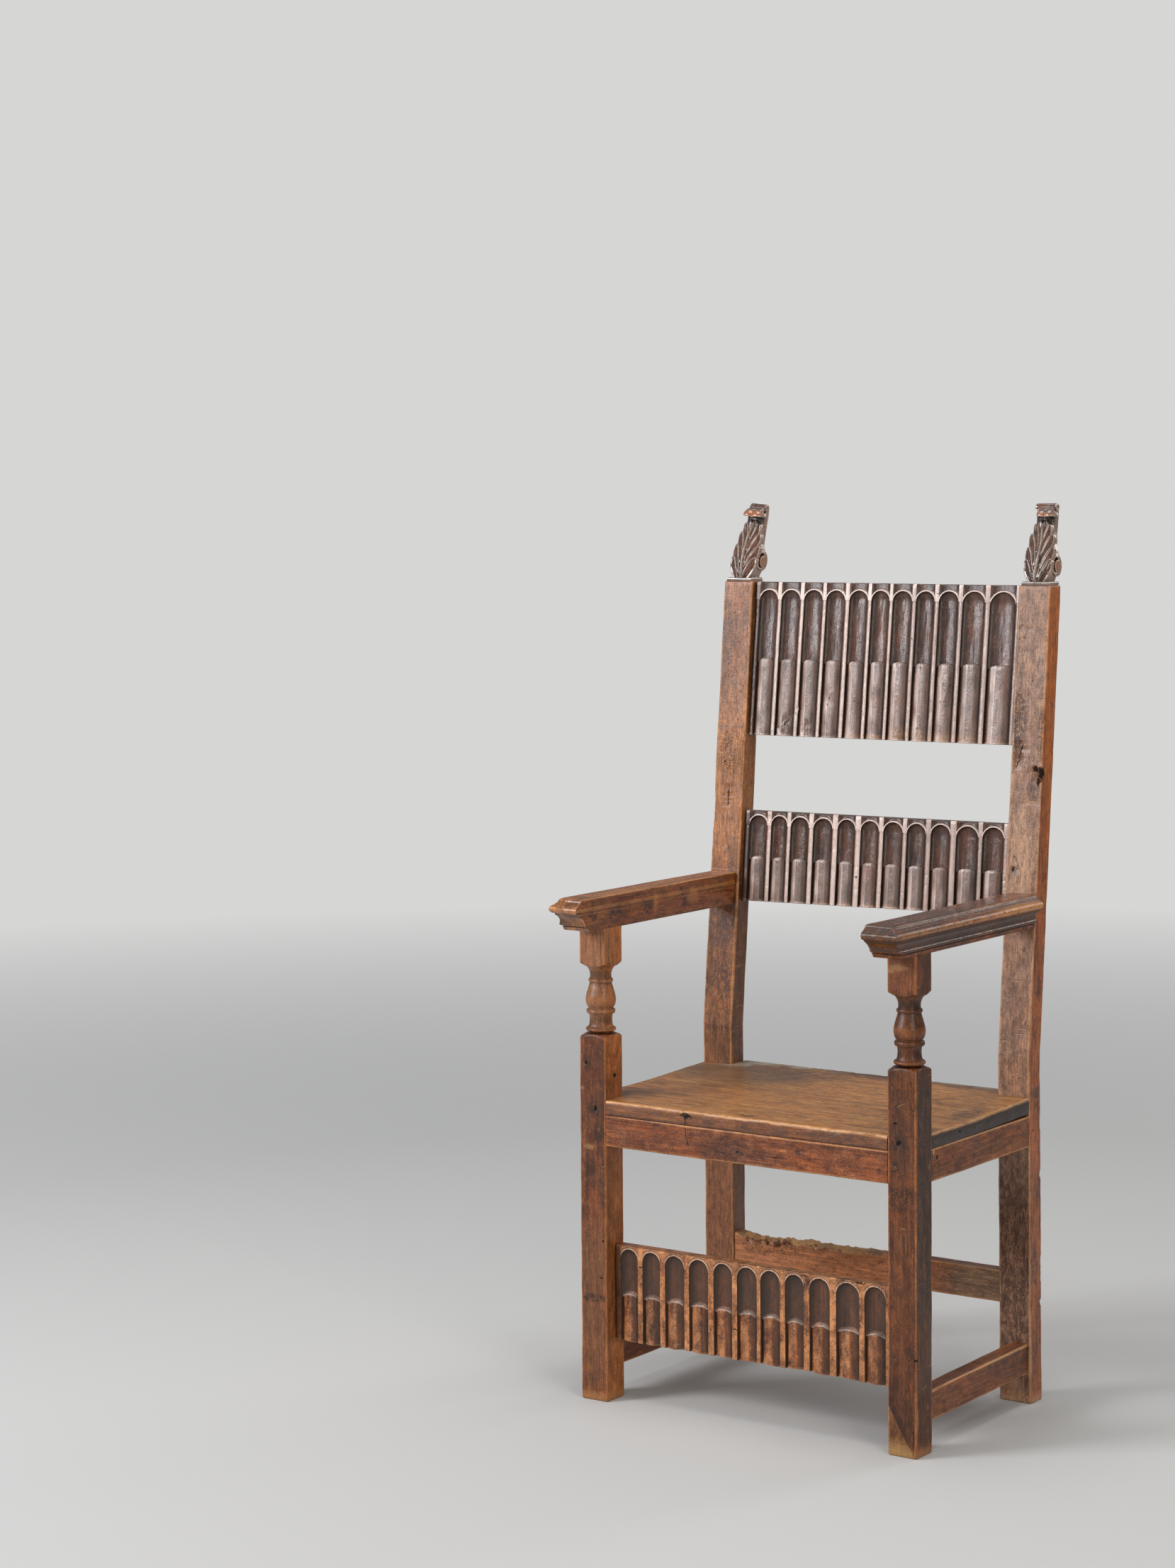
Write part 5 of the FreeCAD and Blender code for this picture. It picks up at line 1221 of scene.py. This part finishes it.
def arm(name, side, seed, node, worn, material):
    """An arm, moulded on its outer side and front end. worn is how far its outer front corner is rubbed."""
    shares = np.array([s for s, _ in ARM_PROFILE])
    outs = np.array([o for _, o in ARM_PROFILE])
    tip_x, tip_y, recess, undercut = 309.5, -75.0, 13.5, 24.0
    us = np.concatenate([[0, 0.02, 0.06], np.linspace(0.12, 0.88, 11), [0.94, 0.98, 1]])
    vs = np.concatenate([[0, 0.004, 0.012, 0.024], np.linspace(0.04, 1, 74)])

    def place(u, v, level):
        out = np.interp(level, shares, outs)
        z = arm_top - level * (arm_top - arm_bottom)
        x_out = tip_x - recess * (1 - out)
        below = max(0.0, level - 0.43) / 0.57
        y_out = tip_y + recess * (1 - out) + undercut * below
        x = post_inner + (x_out - post_inner) * u
        y = y_out + (float(rear_face(z)) - y_out) * v
        p = np.stack([x, y, np.full_like(x, z)], -1)
        wave = 0.5 * noise(p, 90, seed) + 0.25 * noise(p, 24, seed + 1)
        top = (1 - level) ** 6
        z = p[:, 2] - 0.45 + top * (0.35 * noise(p, 20, seed + 2, (1, 3, 1)))
        edge_in = ease(x - post_inner, 2.2, 0) * top
        z = z - 1.1 * edge_in - 0.9 * top * ease(x_out - x, 2.0, 0) - 0.8 * top * ease(y - y_out, 2.4, 0)
        round_tip = worn * blob(p, (tip_x, tip_y, arm_top - 12), (34, 34, 46))
        x = x - np.where(u > 0.99, np.abs(wave) * 0.9, 0) - round_tip * 5
        y = y + np.where(v < 0.001, np.abs(wave) * 0.9, 0) + round_tip * 6
        x = x + np.where(u < 0.01, 0.4 * (1 + wave), 0)
        return np.stack([side * x, y, z], -1)

    points, faces, level_of = slab(us, vs, np.ones((len(us) - 1, len(vs) - 1), bool), list(shares), place)
    x = np.abs(points[:, 0])
    wear_and_highlight = np.where(np.abs(level_of - 0.30) < 0.06, 0.45, 0)
    on_top = ease(x, post_inner + 3, post_inner) * 0.8 + ease(points[:, 1], -66, -74) * 0.5
    wear_and_highlight = np.maximum(wear_and_highlight, (level_of == 0) * on_top)
    wear_and_highlight = np.maximum(wear_and_highlight, np.isclose(level_of, 0.434) * 0.3)
    wear_and_highlight = wear_and_highlight * (1 - (1 - worn) * 0.9 * ease(points[:, 1], -52, -66))
    grime = np.where((level_of > 0.43) & (level_of < 0.88), 0.42, 0)
    grime = grime + np.where(np.isin(level_of, [0.17, 0.434, 0.506, 0.855, 0.882]), 0.5, 0)
    grime = np.maximum(grime, np.where((level_of > 0.05) & (level_of < 0.18), 0.4, 0))
    grime = np.minimum(grime, 0.9) * (x > post_inner + 3)
    return make(name, points, faces, material, [node], {"wear_and_highlight": wear_and_highlight, "grime": grime}, sharp=32)


arm("armrest_left", -1, 820, "arm_left", 1.0, arm_left)
arm("armrest_right", 1, 840, "arm_right", 0.15, arm_wood)

# Finials

def surface_of(field, origin, step):
    """Points and faces of the surface where a field on a grid is zero. The field is negative inside."""
    inside = field < 0
    shape = np.array(field.shape)
    total = np.zeros(tuple(shape - 1) + (3,))
    count = np.zeros(tuple(shape - 1))
    grid = np.stack(np.meshgrid(*[np.arange(n) for n in shape], indexing="ij"), -1).astype(float)
    crossings = []
    for axis in range(3):
        low = [slice(None)] * 3
        high = [slice(None)] * 3
        low[axis], high[axis] = slice(None, -1), slice(1, None)
        low, high = tuple(low), tuple(high)
        cut = inside[low] != inside[high]
        share = np.where(cut, field[low] / np.where(cut, field[low] - field[high], 1), 0)
        where = grid[low].copy()
        where[..., axis] += share
        where *= cut[..., None]
        b, c = [k for k in range(3) if k != axis]
        for i in (0, 1):
            for j in (0, 1):
                part = [slice(None)] * 3
                part[b] = slice(i, shape[b] - 1 + i)
                part[c] = slice(j, shape[c] - 1 + j)
                total += where[tuple(part)]
                count += cut[tuple(part)]
        crossings.append((axis, b, c, np.argwhere(cut)))
    used = count > 0
    index = np.full(used.shape, -1)
    index[used] = np.arange(used.sum())
    points = total[used] / count[used][:, None] * step + np.array(origin)
    faces = []
    for axis, b, c, cells in crossings:
        i, j = cells[:, b], cells[:, c]
        cells = cells[(i > 0) & (j > 0) & (i < shape[b] - 1) & (j < shape[c] - 1)]
        corners = []
        for i, j in ((-1, -1), (0, -1), (0, 0), (-1, 0)):
            at = cells.copy()
            at[:, b] += i
            at[:, c] += j
            corners.append(index[tuple(at.T)])
        faces.append(np.stack(corners, -1))
    return points, np.concatenate(faces)


def relief_of(points, faces, rounds):
    """How far each point stands out from its smoothed surroundings."""
    pairs = np.concatenate([faces[:, [k, (k + 1) % 4]] for k in range(4)])
    pairs = np.concatenate([pairs, pairs[:, ::-1]])
    degree = np.bincount(pairs[:, 0], minlength=len(points)).astype(float)
    moved = points.copy()
    for _ in range(rounds):
        moved = np.stack([np.bincount(pairs[:, 0], weights=column, minlength=len(points))
                          for column in moved[pairs[:, 1]].T], -1)
        moved /= np.maximum(degree, 1)[:, None]
    return points - moved


def soft_max(a, b, k):
    """The larger of two fields, with a rounded edge between them."""
    h = np.clip(k - np.abs(a - b), 0, None) / k
    return np.maximum(a, b) + h * h * k / 4


def soft_min(a, b, k):
    """The smaller of two fields, with a rounded edge between them."""
    return -soft_max(-a, -b, k)


# A lobe's root, bend and tip, each across and up, its half width, how far it stands out and its tip's curl
LEAFLETS = [
    ((3.4, 0), (15, 12), (20.8, 40), 7.4, 4.6, 1.6), ((3.0, 12), (15, 32), (20.8, 59), 7.0, 4.0, 1.8),
    ((2.6, 30), (13, 54), (17.6, 80), 6.8, 3.5, 1.8), ((2.0, 52), (10, 76), (12.6, 96), 5.8, 3.0, 1.6),
    ((1.6, 72), (5, 88), (4.6, 102), 4.6, 2.8, 1.0)]


def leaf(u, h, seed):
    """How far a carved leaf stands out at (u, h), and how far inside its outline that is."""
    web = np.interp(h, [0, 8, 20, 38, 56, 76, 92, 98, 103], [13, 17, 19.5, 19, 18, 15, 10, 6, -2])
    inside = web - np.abs(u)
    out = np.where(inside > 0, 0.6, -9.0)
    s = np.linspace(0, 1, 41)
    for k, (root, turn, tip, half, lift, curl) in enumerate(LEAFLETS):
        for way in (-1, 1):
            jig = wobble(np.arange(4) * 2.3 + k * 3.1 + way, 1.0, seed)
            a = np.array([way * root[0], root[1]])
            b = np.array([way * turn[0], turn[1]])
            c = np.array([way * tip[0] + 0.9 * jig[0], tip[1] + 1.6 * jig[1]])
            spine = ((1 - s) ** 2)[:, None] * a + (2 * s * (1 - s))[:, None] * b + (s ** 2)[:, None] * c
            run = np.gradient(spine, axis=0)
            run /= np.linalg.norm(run, axis=1)[:, None]
            d = np.stack([u[..., None] - spine[:, 0], h[..., None] - spine[:, 1]], -1)
            best = (d ** 2).sum(-1).argmin(-1)
            t = s[best]
            d = np.take_along_axis(d, best[..., None, None].repeat(2, -1), -2)[..., 0, :]
            along = (d * run[best]).sum(-1)
            across = d[..., 0] * run[best][..., 1] - d[..., 1] * run[best][..., 0]
            round_tip = np.sqrt(np.clip(1 - (np.clip(t - 0.66, 0, 1) / 0.37) ** 2, 0, 1))
            width = half * (0.30 + 0.70 * np.sin(np.clip(t / 0.66, 0, 1) * np.pi / 2)) * round_tip * (1
                + 0.06 * jig[2])
            past = np.where(t >= 1, along, 0) + np.where(t <= 0, -along, 0)
            off = across / np.maximum(width, 0.4)
            edge = width - np.abs(across) - np.maximum(past, 0) * 2
            # a hollow spoon: raised rims, a sunk middle and a fine vein
            deep = ease(t, 0.05, 0.45) * 2.5
            form = lift * (0.70 + 0.30 * t) + curl * t ** 3 - deep * np.clip(1 - np.abs(off / 0.80) ** 2, 0,
                1)
            form = form - 1.2 * np.clip((np.abs(off) - 0.84) / 0.16, 0, 1) ** 2
            form = form + 0.9 * np.exp(-(off / 0.18) ** 2) * deep / 3
            out = np.maximum(out, np.where(edge > 0, form, -9.0))
            inside = np.maximum(inside, edge)
    return out, inside


def away(*terms):
    """Distance from a centre in half sizes. Each term is a place, its centre and its half size."""
    return np.sqrt(sum(((at - centre) / size) ** 2 for at, centre, size in terms))


def scroll(u1, d1, h1, side, seed):
    """A finial's S-scroll, with the leaf carved up its front and a flat band up each side of its back."""
    u2, h2 = np.meshgrid(u1, h1, indexing="ij")
    out, inside = leaf(u2, h2, seed)
    front = np.interp(h1, [0, 10, 22, 43, 65, 85, 99, 133], [4.6, 3.2, 2.6, 6.0, 12.5, 18.5, 22.0, 27.0])
    back = np.interp(h1, [0, 10, 16, 31, 49, 56, 65, 78, 91, 105, 120, 133],
                     [31, 32.5, 34, 40, 38, 36, 36, 38, 41, 42.3, 41.9, 41.9])
    half = np.interp(h1, [0, 12, 22, 45, 56, 66, 78, 90, 100, 108, 118, 133],
                     [18.5, 20, 22.5, 22, 20.5, 18, 16.8, 15.5, 15.2, 15.6, 15.5, 15.2])
    ridge_x = np.interp(h1, [0, 20, 45, 70, 90], [1.6, 1.4, -1.4, -2.6, 0.6]) * -side
    bow = 7.5 * (np.abs(u2) / 23) ** 2.2
    rib = np.interp(h1, [0, 8, 40, 70, 96, 104], [3.6, 3.4, 2.8, 2.2, 1.8, 1.2])
    ridge = (5.6 - 0.012 * h2) * np.sqrt(np.clip(1 - (np.abs(u2 - ridge_x) / rib) ** 2, 0, 1)) * ease(h2,
        101, 95)
    out = np.maximum(out, np.where(ridge > 0.5, ridge - 0.4, 0))
    face_at = front + bow - np.maximum(out, 0)
    u, d, h = u1[:, None, None], d1[None, :, None], h1[None, None, :]
    core = soft_max(front + 1.8 + bow[:, None, :] - d, d - back, 2.0)
    core = soft_max(core, np.abs(u) - (half - 1.8), 2.0)
    core = soft_max(core, h - 116, 2.0)
    blade = np.maximum(face_at[:, None, :] - d, d - (front + bow)[:, None, :] - 3.4)
    blade = soft_max(blade, -inside[:, None, :], 1.2)
    blade = np.maximum(blade, np.abs(u) - 24)
    strip = soft_max(np.maximum(back - 14.5 - d, d - back), np.abs(u) - half, 1.0)
    strip = np.maximum(strip, np.maximum(44 - h, h - 124))
    return np.minimum(soft_min(core, blade, 0.8), strip)


def with_volutes(body, u, d, h, eye):
    """A finial's body with a volute on each side: a disc with a spiral channel round a knob."""
    middle = 29.5
    radius = np.hypot(d - middle, (h - eye) * 0.93)
    disc = soft_max(radius - 15.6, np.abs(u) - 22.6, 1.4)
    turn = np.abs(np.degrees(np.arctan2(h - eye, middle - d)) - 12)
    channel = np.maximum(np.abs(radius - 9.8) - 2.9 * ease(turn, 116, 46), 17.0 - np.abs(u))
    channel = np.maximum(channel, turn - 118)
    knob = np.sqrt((np.maximum(np.abs(u) - 17, 0) / 6.0) ** 2 + (radius / 7.6) ** 2) * 7 - 7
    body = np.maximum(np.minimum(body, disc), -channel)
    return np.minimum(body, np.maximum(knob, np.abs(u) - 23))


def hanging_lip(u, d, h, lip, reach):
    """Two lobes that hang forward over a hollow, split between them."""
    bulge = ((d, 25.5, 14.0), (h, 108.0, 12.8))
    wide = reach * 0.62
    lobes = None
    for way in (-1, 1):
        mid = way * reach * 0.38 + lip
        lobe = (away((u, mid, wide), *bulge) - 1) * 10
        lobe = soft_max(lobe, 106.4 + 0.10 * np.abs(u - lip) - h + 0.6 * np.cos((u - mid) * 0.3), 1.6)
        under = (away((u, mid, wide - 2.2), (d, 25.0, 11.2), (h, 103.0, 9.0)) - 1) * 6
        lobe = soft_max(lobe, -under, 0.8)
        lobes = lobe if lobes is None else soft_min(lobes, lobe, 1.0)
    shell = (1 - away(*bulge)) * 12
    split = np.maximum(np.abs(u - lip + (h - 112) * 0.20) - 0.9, shell - 1.6)
    return soft_max(lobes, -split, 0.6)


def top_roll(u, d, h, ends):
    """The roll at the top, with a small eye in each end, and the sheet that runs up into it."""
    radius = np.hypot(d - 35.7, h - 123.9)
    reach = np.maximum(u - ends[1], ends[0] - u)
    wheel = soft_max(radius - 6.0, reach, 1.6)
    wheel = np.maximum(wheel, -np.maximum(radius - 2.3, -reach - 3.0))
    beyond = np.maximum(np.maximum(20 - d, d - 37), np.abs(u) - 13)
    return soft_min(wheel, np.maximum(np.abs((h - 118.0) - (d - 24) * 0.35) - 3.0, beyond), 3.0)


def finial_highlight_and_shade(points, faces, body, corner, step):
    """Wear and painted highlights where a finial's surface stands out, and painted shade where it is sunk and
    under its lip.
    """
    fine, broad = relief_of(points, faces, 3), relief_of(points, faces, 26)
    at = np.clip(np.round((points - corner) / step).astype(int), 0, np.array(body.shape) - 1)
    normal = np.stack([grade[tuple(at.T)] for grade in np.gradient(body, step)], -1)
    normal /= np.maximum(np.linalg.norm(normal, axis=1, keepdims=True), 1e-6)
    stands, sinks = (fine * normal).sum(1), (broad * normal).sum(1)
    wear_and_highlight = ease(stands, 0.02, 0.14) * 0.8 + ease(sinks, 0.4, 1.6) * 0.35
    grime = ease(-sinks, 0.15, 1.3) + ease(-stands, 0.03, 0.16) * 0.4
    y, z = points[:, 1], points[:, 2]
    shade_under_lip = 0.85 * ease(z, 96, 100) * ease(z, 110, 107) * ease(y, 15, 17) * ease(y, 32, 29)
    return wear_and_highlight, np.maximum(grime, shade_under_lip)


def finial_plate(seed):
    """Rings of the thin plate that a finial stands on."""
    share = (np.arange(12) / 12)[:, None]
    rings = []
    for z, inset in ((0, 0.4), (0.6, 0.0), (4.8, 0.0), (5.7, 0.5), (6.0, 1.4)):
        x0, x1, y0, y1 = -23.2 + inset, 23.2 - inset, 0.8 + inset, 35.5 - inset
        corners = np.array([(x0, y0), (x1, y0), (x1, y1), (x0, y1)])
        along = np.concatenate([a + (b - a) * share for a, b in zip(corners, np.roll(corners, -1, axis=0))])
        rings.append(np.column_stack([along, np.full(len(along), float(z))]))
    rings = np.array(rings)
    rings[..., 2] += np.where(rings[..., 2] > 4, 0.35 * noise(rings * (1, 1, 0.1), 12, seed), 0)
    return rings


def finial(name, side, seed, node, lean, eye, ends, lip, reach):
    """A scrolled leaf finial on its plate. lean is in degrees, eye the volutes' height, ends the roll's ends,
    and lip and reach the middle and half the width of the hanging lip."""
    step = 0.72
    u1, d1, h1 = np.arange(-26, 26.2, step), np.arange(-4.5, 47, step), np.arange(4.4, 133.5, step)
    corner = (u1[0], d1[0], h1[0])
    u, d, h = u1[:, None, None], d1[None, :, None], h1[None, None, :]
    body = with_volutes(scroll(u1, d1, h1, side, seed), u, d, h, eye)
    body = np.where((h > 102) & (d < 21), np.maximum(body, 0.5), body)
    body = soft_min(body, hanging_lip(u, d, h, lip, reach), 1.0)
    side_cut = np.maximum(np.hypot(d - 28, (h - 119) * 1.15) - 5.2, 11.5 - np.abs(u))
    body = soft_max(body, -side_cut, 0.8)
    body = np.minimum(body, top_roll(u, d, h, ends))
    grid = np.stack(np.broadcast_arrays(u, d, h), -1).astype(float)
    body = body + 0.28 * noise(grid, 6.5, seed + 20, (1, 1, 1.6))
    points, faces = surface_of(body, corner, step)
    points = points - 0.8 * relief_of(points, faces, 2)
    wear_and_highlight, grime = finial_highlight_and_shade(points, faces, body, corner, step)
    plate = finial_plate(seed + 30)
    u, d, h = np.concatenate([points, plate.reshape(-1, 3)]).T
    on_plate = np.arange(len(u)) >= len(points)
    rake = math.atan2(rake_run, post_top - bend)
    cos, sin = np.where(on_plate, 1.0, math.cos(rake)), np.where(on_plate, 0.0, math.sin(rake))
    y = float(rear_face(post_top)) + d * cos + h * sin
    up = h * cos - d * sin
    a = np.where(on_plate, 0.0, math.radians(-side * lean))
    x = side * (rear_inner + half_width) / 2 + u * np.cos(a) + up * np.sin(a)
    z = post_top - u * np.sin(a) + up * np.cos(a)
    all_faces = faces.tolist() + [[i + len(points) for i in f] for f in lofted(plate)]
    extra = np.full(on_plate.sum(), 0.35)
    marks = {"wear_and_highlight": np.concatenate([wear_and_highlight, extra]), "grime": np.concatenate([grime, extra * 0.6])}
    return make(name, np.stack([x, y, z], -1), all_faces, leaf_wood, [node], marks, sharp=60)


finial("leaf_finial_left", -1, 950, "finial_left", 5.5, 37.5, (-15.5, 15.5), -0.5, 20.0)
finial("leaf_finial_right", 1, 970, "finial_right", 0.5, 33.0, (-20.0, 16.5), 4.5, 17.0)
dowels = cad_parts["finial_dowels"]
dowels.data.materials.clear()
dowels.data.materials.append(peg_rear)


# Pegs

PEG_AROUND = 24
PEG_SHARES = (0.0, 0.55, 0.9, 0.99, 1.0, 0.99, 0.9, 0.55, 0.0)


def loose_parts(mesh):
    """The separate parts of a mesh of the frame, each as points in millimetres."""
    bm = bmesh.new()
    bm.from_mesh(mesh)
    bmesh.ops.remove_doubles(bm, verts=bm.verts, dist=1e-6)
    left = set(bm.verts)
    parts = []
    while left:
        stack, part = [left.pop()], []
        while stack:
            v = stack.pop()
            part.append(np.array(v.co) * 1000 - (0, shift, 0))
            for e in v.link_edges:
                other = e.other_vert(v)
                if other in left:
                    left.remove(other)
                    stack.append(other)
        parts.append(np.array(part))
    bm.free()
    return sorted(parts, key=lambda p: tuple(np.round(p.mean(0), 1)))


def peg_rings(cloud, k, seed, top):
    """Rings of a hand-cut peg where the frame has one, each with its share of the radius. k is its number."""
    middle = (cloud.max(0) + cloud.min(0)) / 2
    axis = np.linalg.eigh(np.cov((cloud - middle).T))[1][:, 2]
    along = (cloud - middle) @ axis
    half = (along.max() - along.min()) / 2
    radius = np.linalg.norm((cloud - middle) - np.outer(along, axis), axis=1).max()
    a = np.cross(axis, (0, 0, 1) if abs(axis[2]) < 0.9 else (1, 0, 0))
    a /= np.linalg.norm(a)
    b = np.cross(axis, a)
    low = high = half
    if top is not None:
        lift = top(middle[0], middle[1]) - (middle[2] + half)
        high = half + (lift if axis[2] > 0 else 0)
        low = half + (lift if axis[2] < 0 else 0)
    turn = np.linspace(0, 2 * np.pi, PEG_AROUND + 1)[:-1]
    sides = 8 + k % 2
    cut = np.cos(np.pi / sides) / np.cos((turn + k) % (2 * np.pi / sides) - np.pi / sides)
    r = radius * (0.97 - 0.03 * wobble(turn * 2, 1.0, seed + k)) * (0.55 + 0.45 * cut)
    places = (-low, -low, -low + 0.25, -low + 0.8, 0, high - 0.8, high - 0.25, high, high)
    for s, share in zip(places, PEG_SHARES):
        ring = middle + axis * s + share * r[:, None] * (np.cos(turn)[:, None] * a + np.sin(turn)[:,
            None] * b)
        yield ring if share else (middle + axis * s)[None], share


def pegs(name, node, material, seed, top=None):
    """A node's pegs: a little uneven and rounded at their ends. top gives a surface that they end in."""
    points, faces, wear_and_highlight, start = [], [], [], 0
    ring_count = len(PEG_SHARES) - 2
    for k, cloud in enumerate(loose_parts(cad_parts[node].data)):
        for ring, share in peg_rings(cloud, k, seed, top):
            points.append(ring)
            wear_and_highlight.append(np.full(len(ring), 0.1 if share == 0 else 0.2 if share < 0.95 else 0))
        rows = [start + 1 + PEG_AROUND * i + np.arange(PEG_AROUND) for i in range(ring_count)]
        last = start + 1 + PEG_AROUND * ring_count
        for i in range(PEG_AROUND):
            j = (i + 1) % PEG_AROUND
            faces.append([start, rows[0][j], rows[0][i]])
            faces.append([last, rows[-1][i], rows[-1][j]])
            faces += [[p[i], p[j], q[j], q[i]] for p, q in zip(rows, rows[1:])]
        start = last + 1
    return make(name, np.concatenate(points), [[int(i) for i in f] for f in faces], material,
        [node], {"wear_and_highlight": np.concatenate(wear_and_highlight)}, sharp=60)


pegs("pegs_front", "front_frame_pegs", peg_front, 901)
pegs("pegs_side", "side_frame_pegs", peg_front, 911)
pegs("pegs_back", "back_frame_pegs", peg_rear, 921)
pegs("pegs_arms", "arm_pegs", arm_wood, 931)
pegs("pegs_seat", "seat_pegs", seat_wood, 941, board_top)

# Floor, lights and camera

BACKDROP = rgb(214, 214, 213)


def floor():
    """A round pale floor, which turns into the backdrop far from the chair where the camera sees it."""
    material = bpy.data.materials.new("studio_floor")
    t = Tree(material)
    far = t.fit(t.length(t.node("TexCoord", out="Object")), 2.2, 6.0)
    near = t.node("BsdfPrincipled", inputs={"Base Color": rgb(200, 199, 197), "Roughness": 0.75,
                                            "Specular IOR Level": 0.2})
    glow = t.node("Emission", inputs={"Color": BACKDROP, "Strength": 1.0})
    seen = t.node("LightPath", out="Is Camera Ray")
    t.finish("OutputMaterial", t.node("MixShader", inputs={0: far * seen, 1: near, 2: glow}))
    mesh = bpy.data.meshes.new("floor")
    bm = bmesh.new()
    bmesh.ops.create_circle(bm, cap_ends=True, segments=96, radius=60.0)
    bm.to_mesh(mesh)
    bm.free()
    mesh.materials.append(material)
    made = bpy.data.objects.new("floor", mesh)
    bpy.context.scene.collection.objects.link(made)


def backdrop():
    """A plain pale world to the camera, and a soft light from overhead to everything else."""
    world = bpy.data.worlds.new("studio")
    bpy.context.scene.world = world
    t = Tree(world)
    height = t.node("SeparateXYZ", out=2, inputs={0: t.node("TexCoord", out="Generated")})
    soft = t.node("Background", inputs={0: (0.90, 0.95, 1.0, 1), 1: t.fit(height, 0.05, 0.7, 0.10, 0.42)})
    pale = t.node("Background", inputs={0: BACKDROP, 1: 1.0})
    seen = t.node("LightPath", out="Is Camera Ray")
    t.finish("OutputWorld", t.node("MixShader", inputs={0: seen, 1: soft, 2: pale}))


floor()
backdrop()


def lamp(name, place, target, size, power, colour):
    """A soft rectangular lamp that faces a point."""
    data = bpy.data.lights.new(name, "AREA")
    data.shape = "RECTANGLE"
    data.size, data.size_y = size
    data.energy = power
    data.color = colour
    made = bpy.data.objects.new(name, data)
    made.location = place
    made.rotation_euler = (Vector(target) - Vector(place)).to_track_quat("-Z", "Y").to_euler()
    bpy.context.scene.collection.objects.link(made)


middle = (0, 0, 0.75)
lamp("key_left", (-2.9, -3.7, 2.6), middle, (1.5, 1.9), 175, (0.97, 0.97, 1.0))
lamp("fill_right", (3.3, -2.2, 1.7), middle, (1.2, 1.8), 44, (1.0, 0.93, 0.84))
lamp("back_right", (1.6, 3.8, 2.6), (0, 0, 0.8), (1.2, 1.8), 26, (1.0, 0.96, 0.90))
lamp("top", (0.1, -0.3, 3.7), middle, (1.8, 1.8), 46, (1.0, 0.98, 0.96))

# The camera, solved from the photograph: its place in metres, its aim in radians, its focal length and
# the middle of its view in pixels of the photograph
eye = Vector((2.688267, -4.398609, 1.426011))
yaw, pitch, roll = -0.613710, -0.049330, -0.006450
focal, axis_x, axis_y = 4750.013, 833.825, 906.500
image_width, image_height = 1658, 2212
ahead = Vector((math.sin(yaw) * math.cos(pitch), math.cos(yaw) * math.cos(pitch), math.sin(pitch)))
right = Vector((math.cos(yaw), -math.sin(yaw), 0))
up = right.cross(ahead)
right, up = (right * math.cos(roll) + up * math.sin(roll), up * math.cos(roll) - right * math.sin(roll))
data = bpy.data.cameras.new("camera")
data.sensor_width = 36.0
data.lens = focal / image_height * data.sensor_width
data.shift_x = (image_width / 2 - axis_x) / image_height
data.shift_y = (axis_y - image_height / 2) / image_height
data.clip_end = 200
camera = bpy.data.objects.new("camera", data)
turn = Matrix((right, up, -ahead)).transposed().to_4x4()
camera.matrix_world = Matrix.Translation(eye) @ turn
bpy.context.scene.collection.objects.link(camera)
bpy.context.scene.camera = camera
bpy.context.scene.view_settings.view_transform = "Standard"
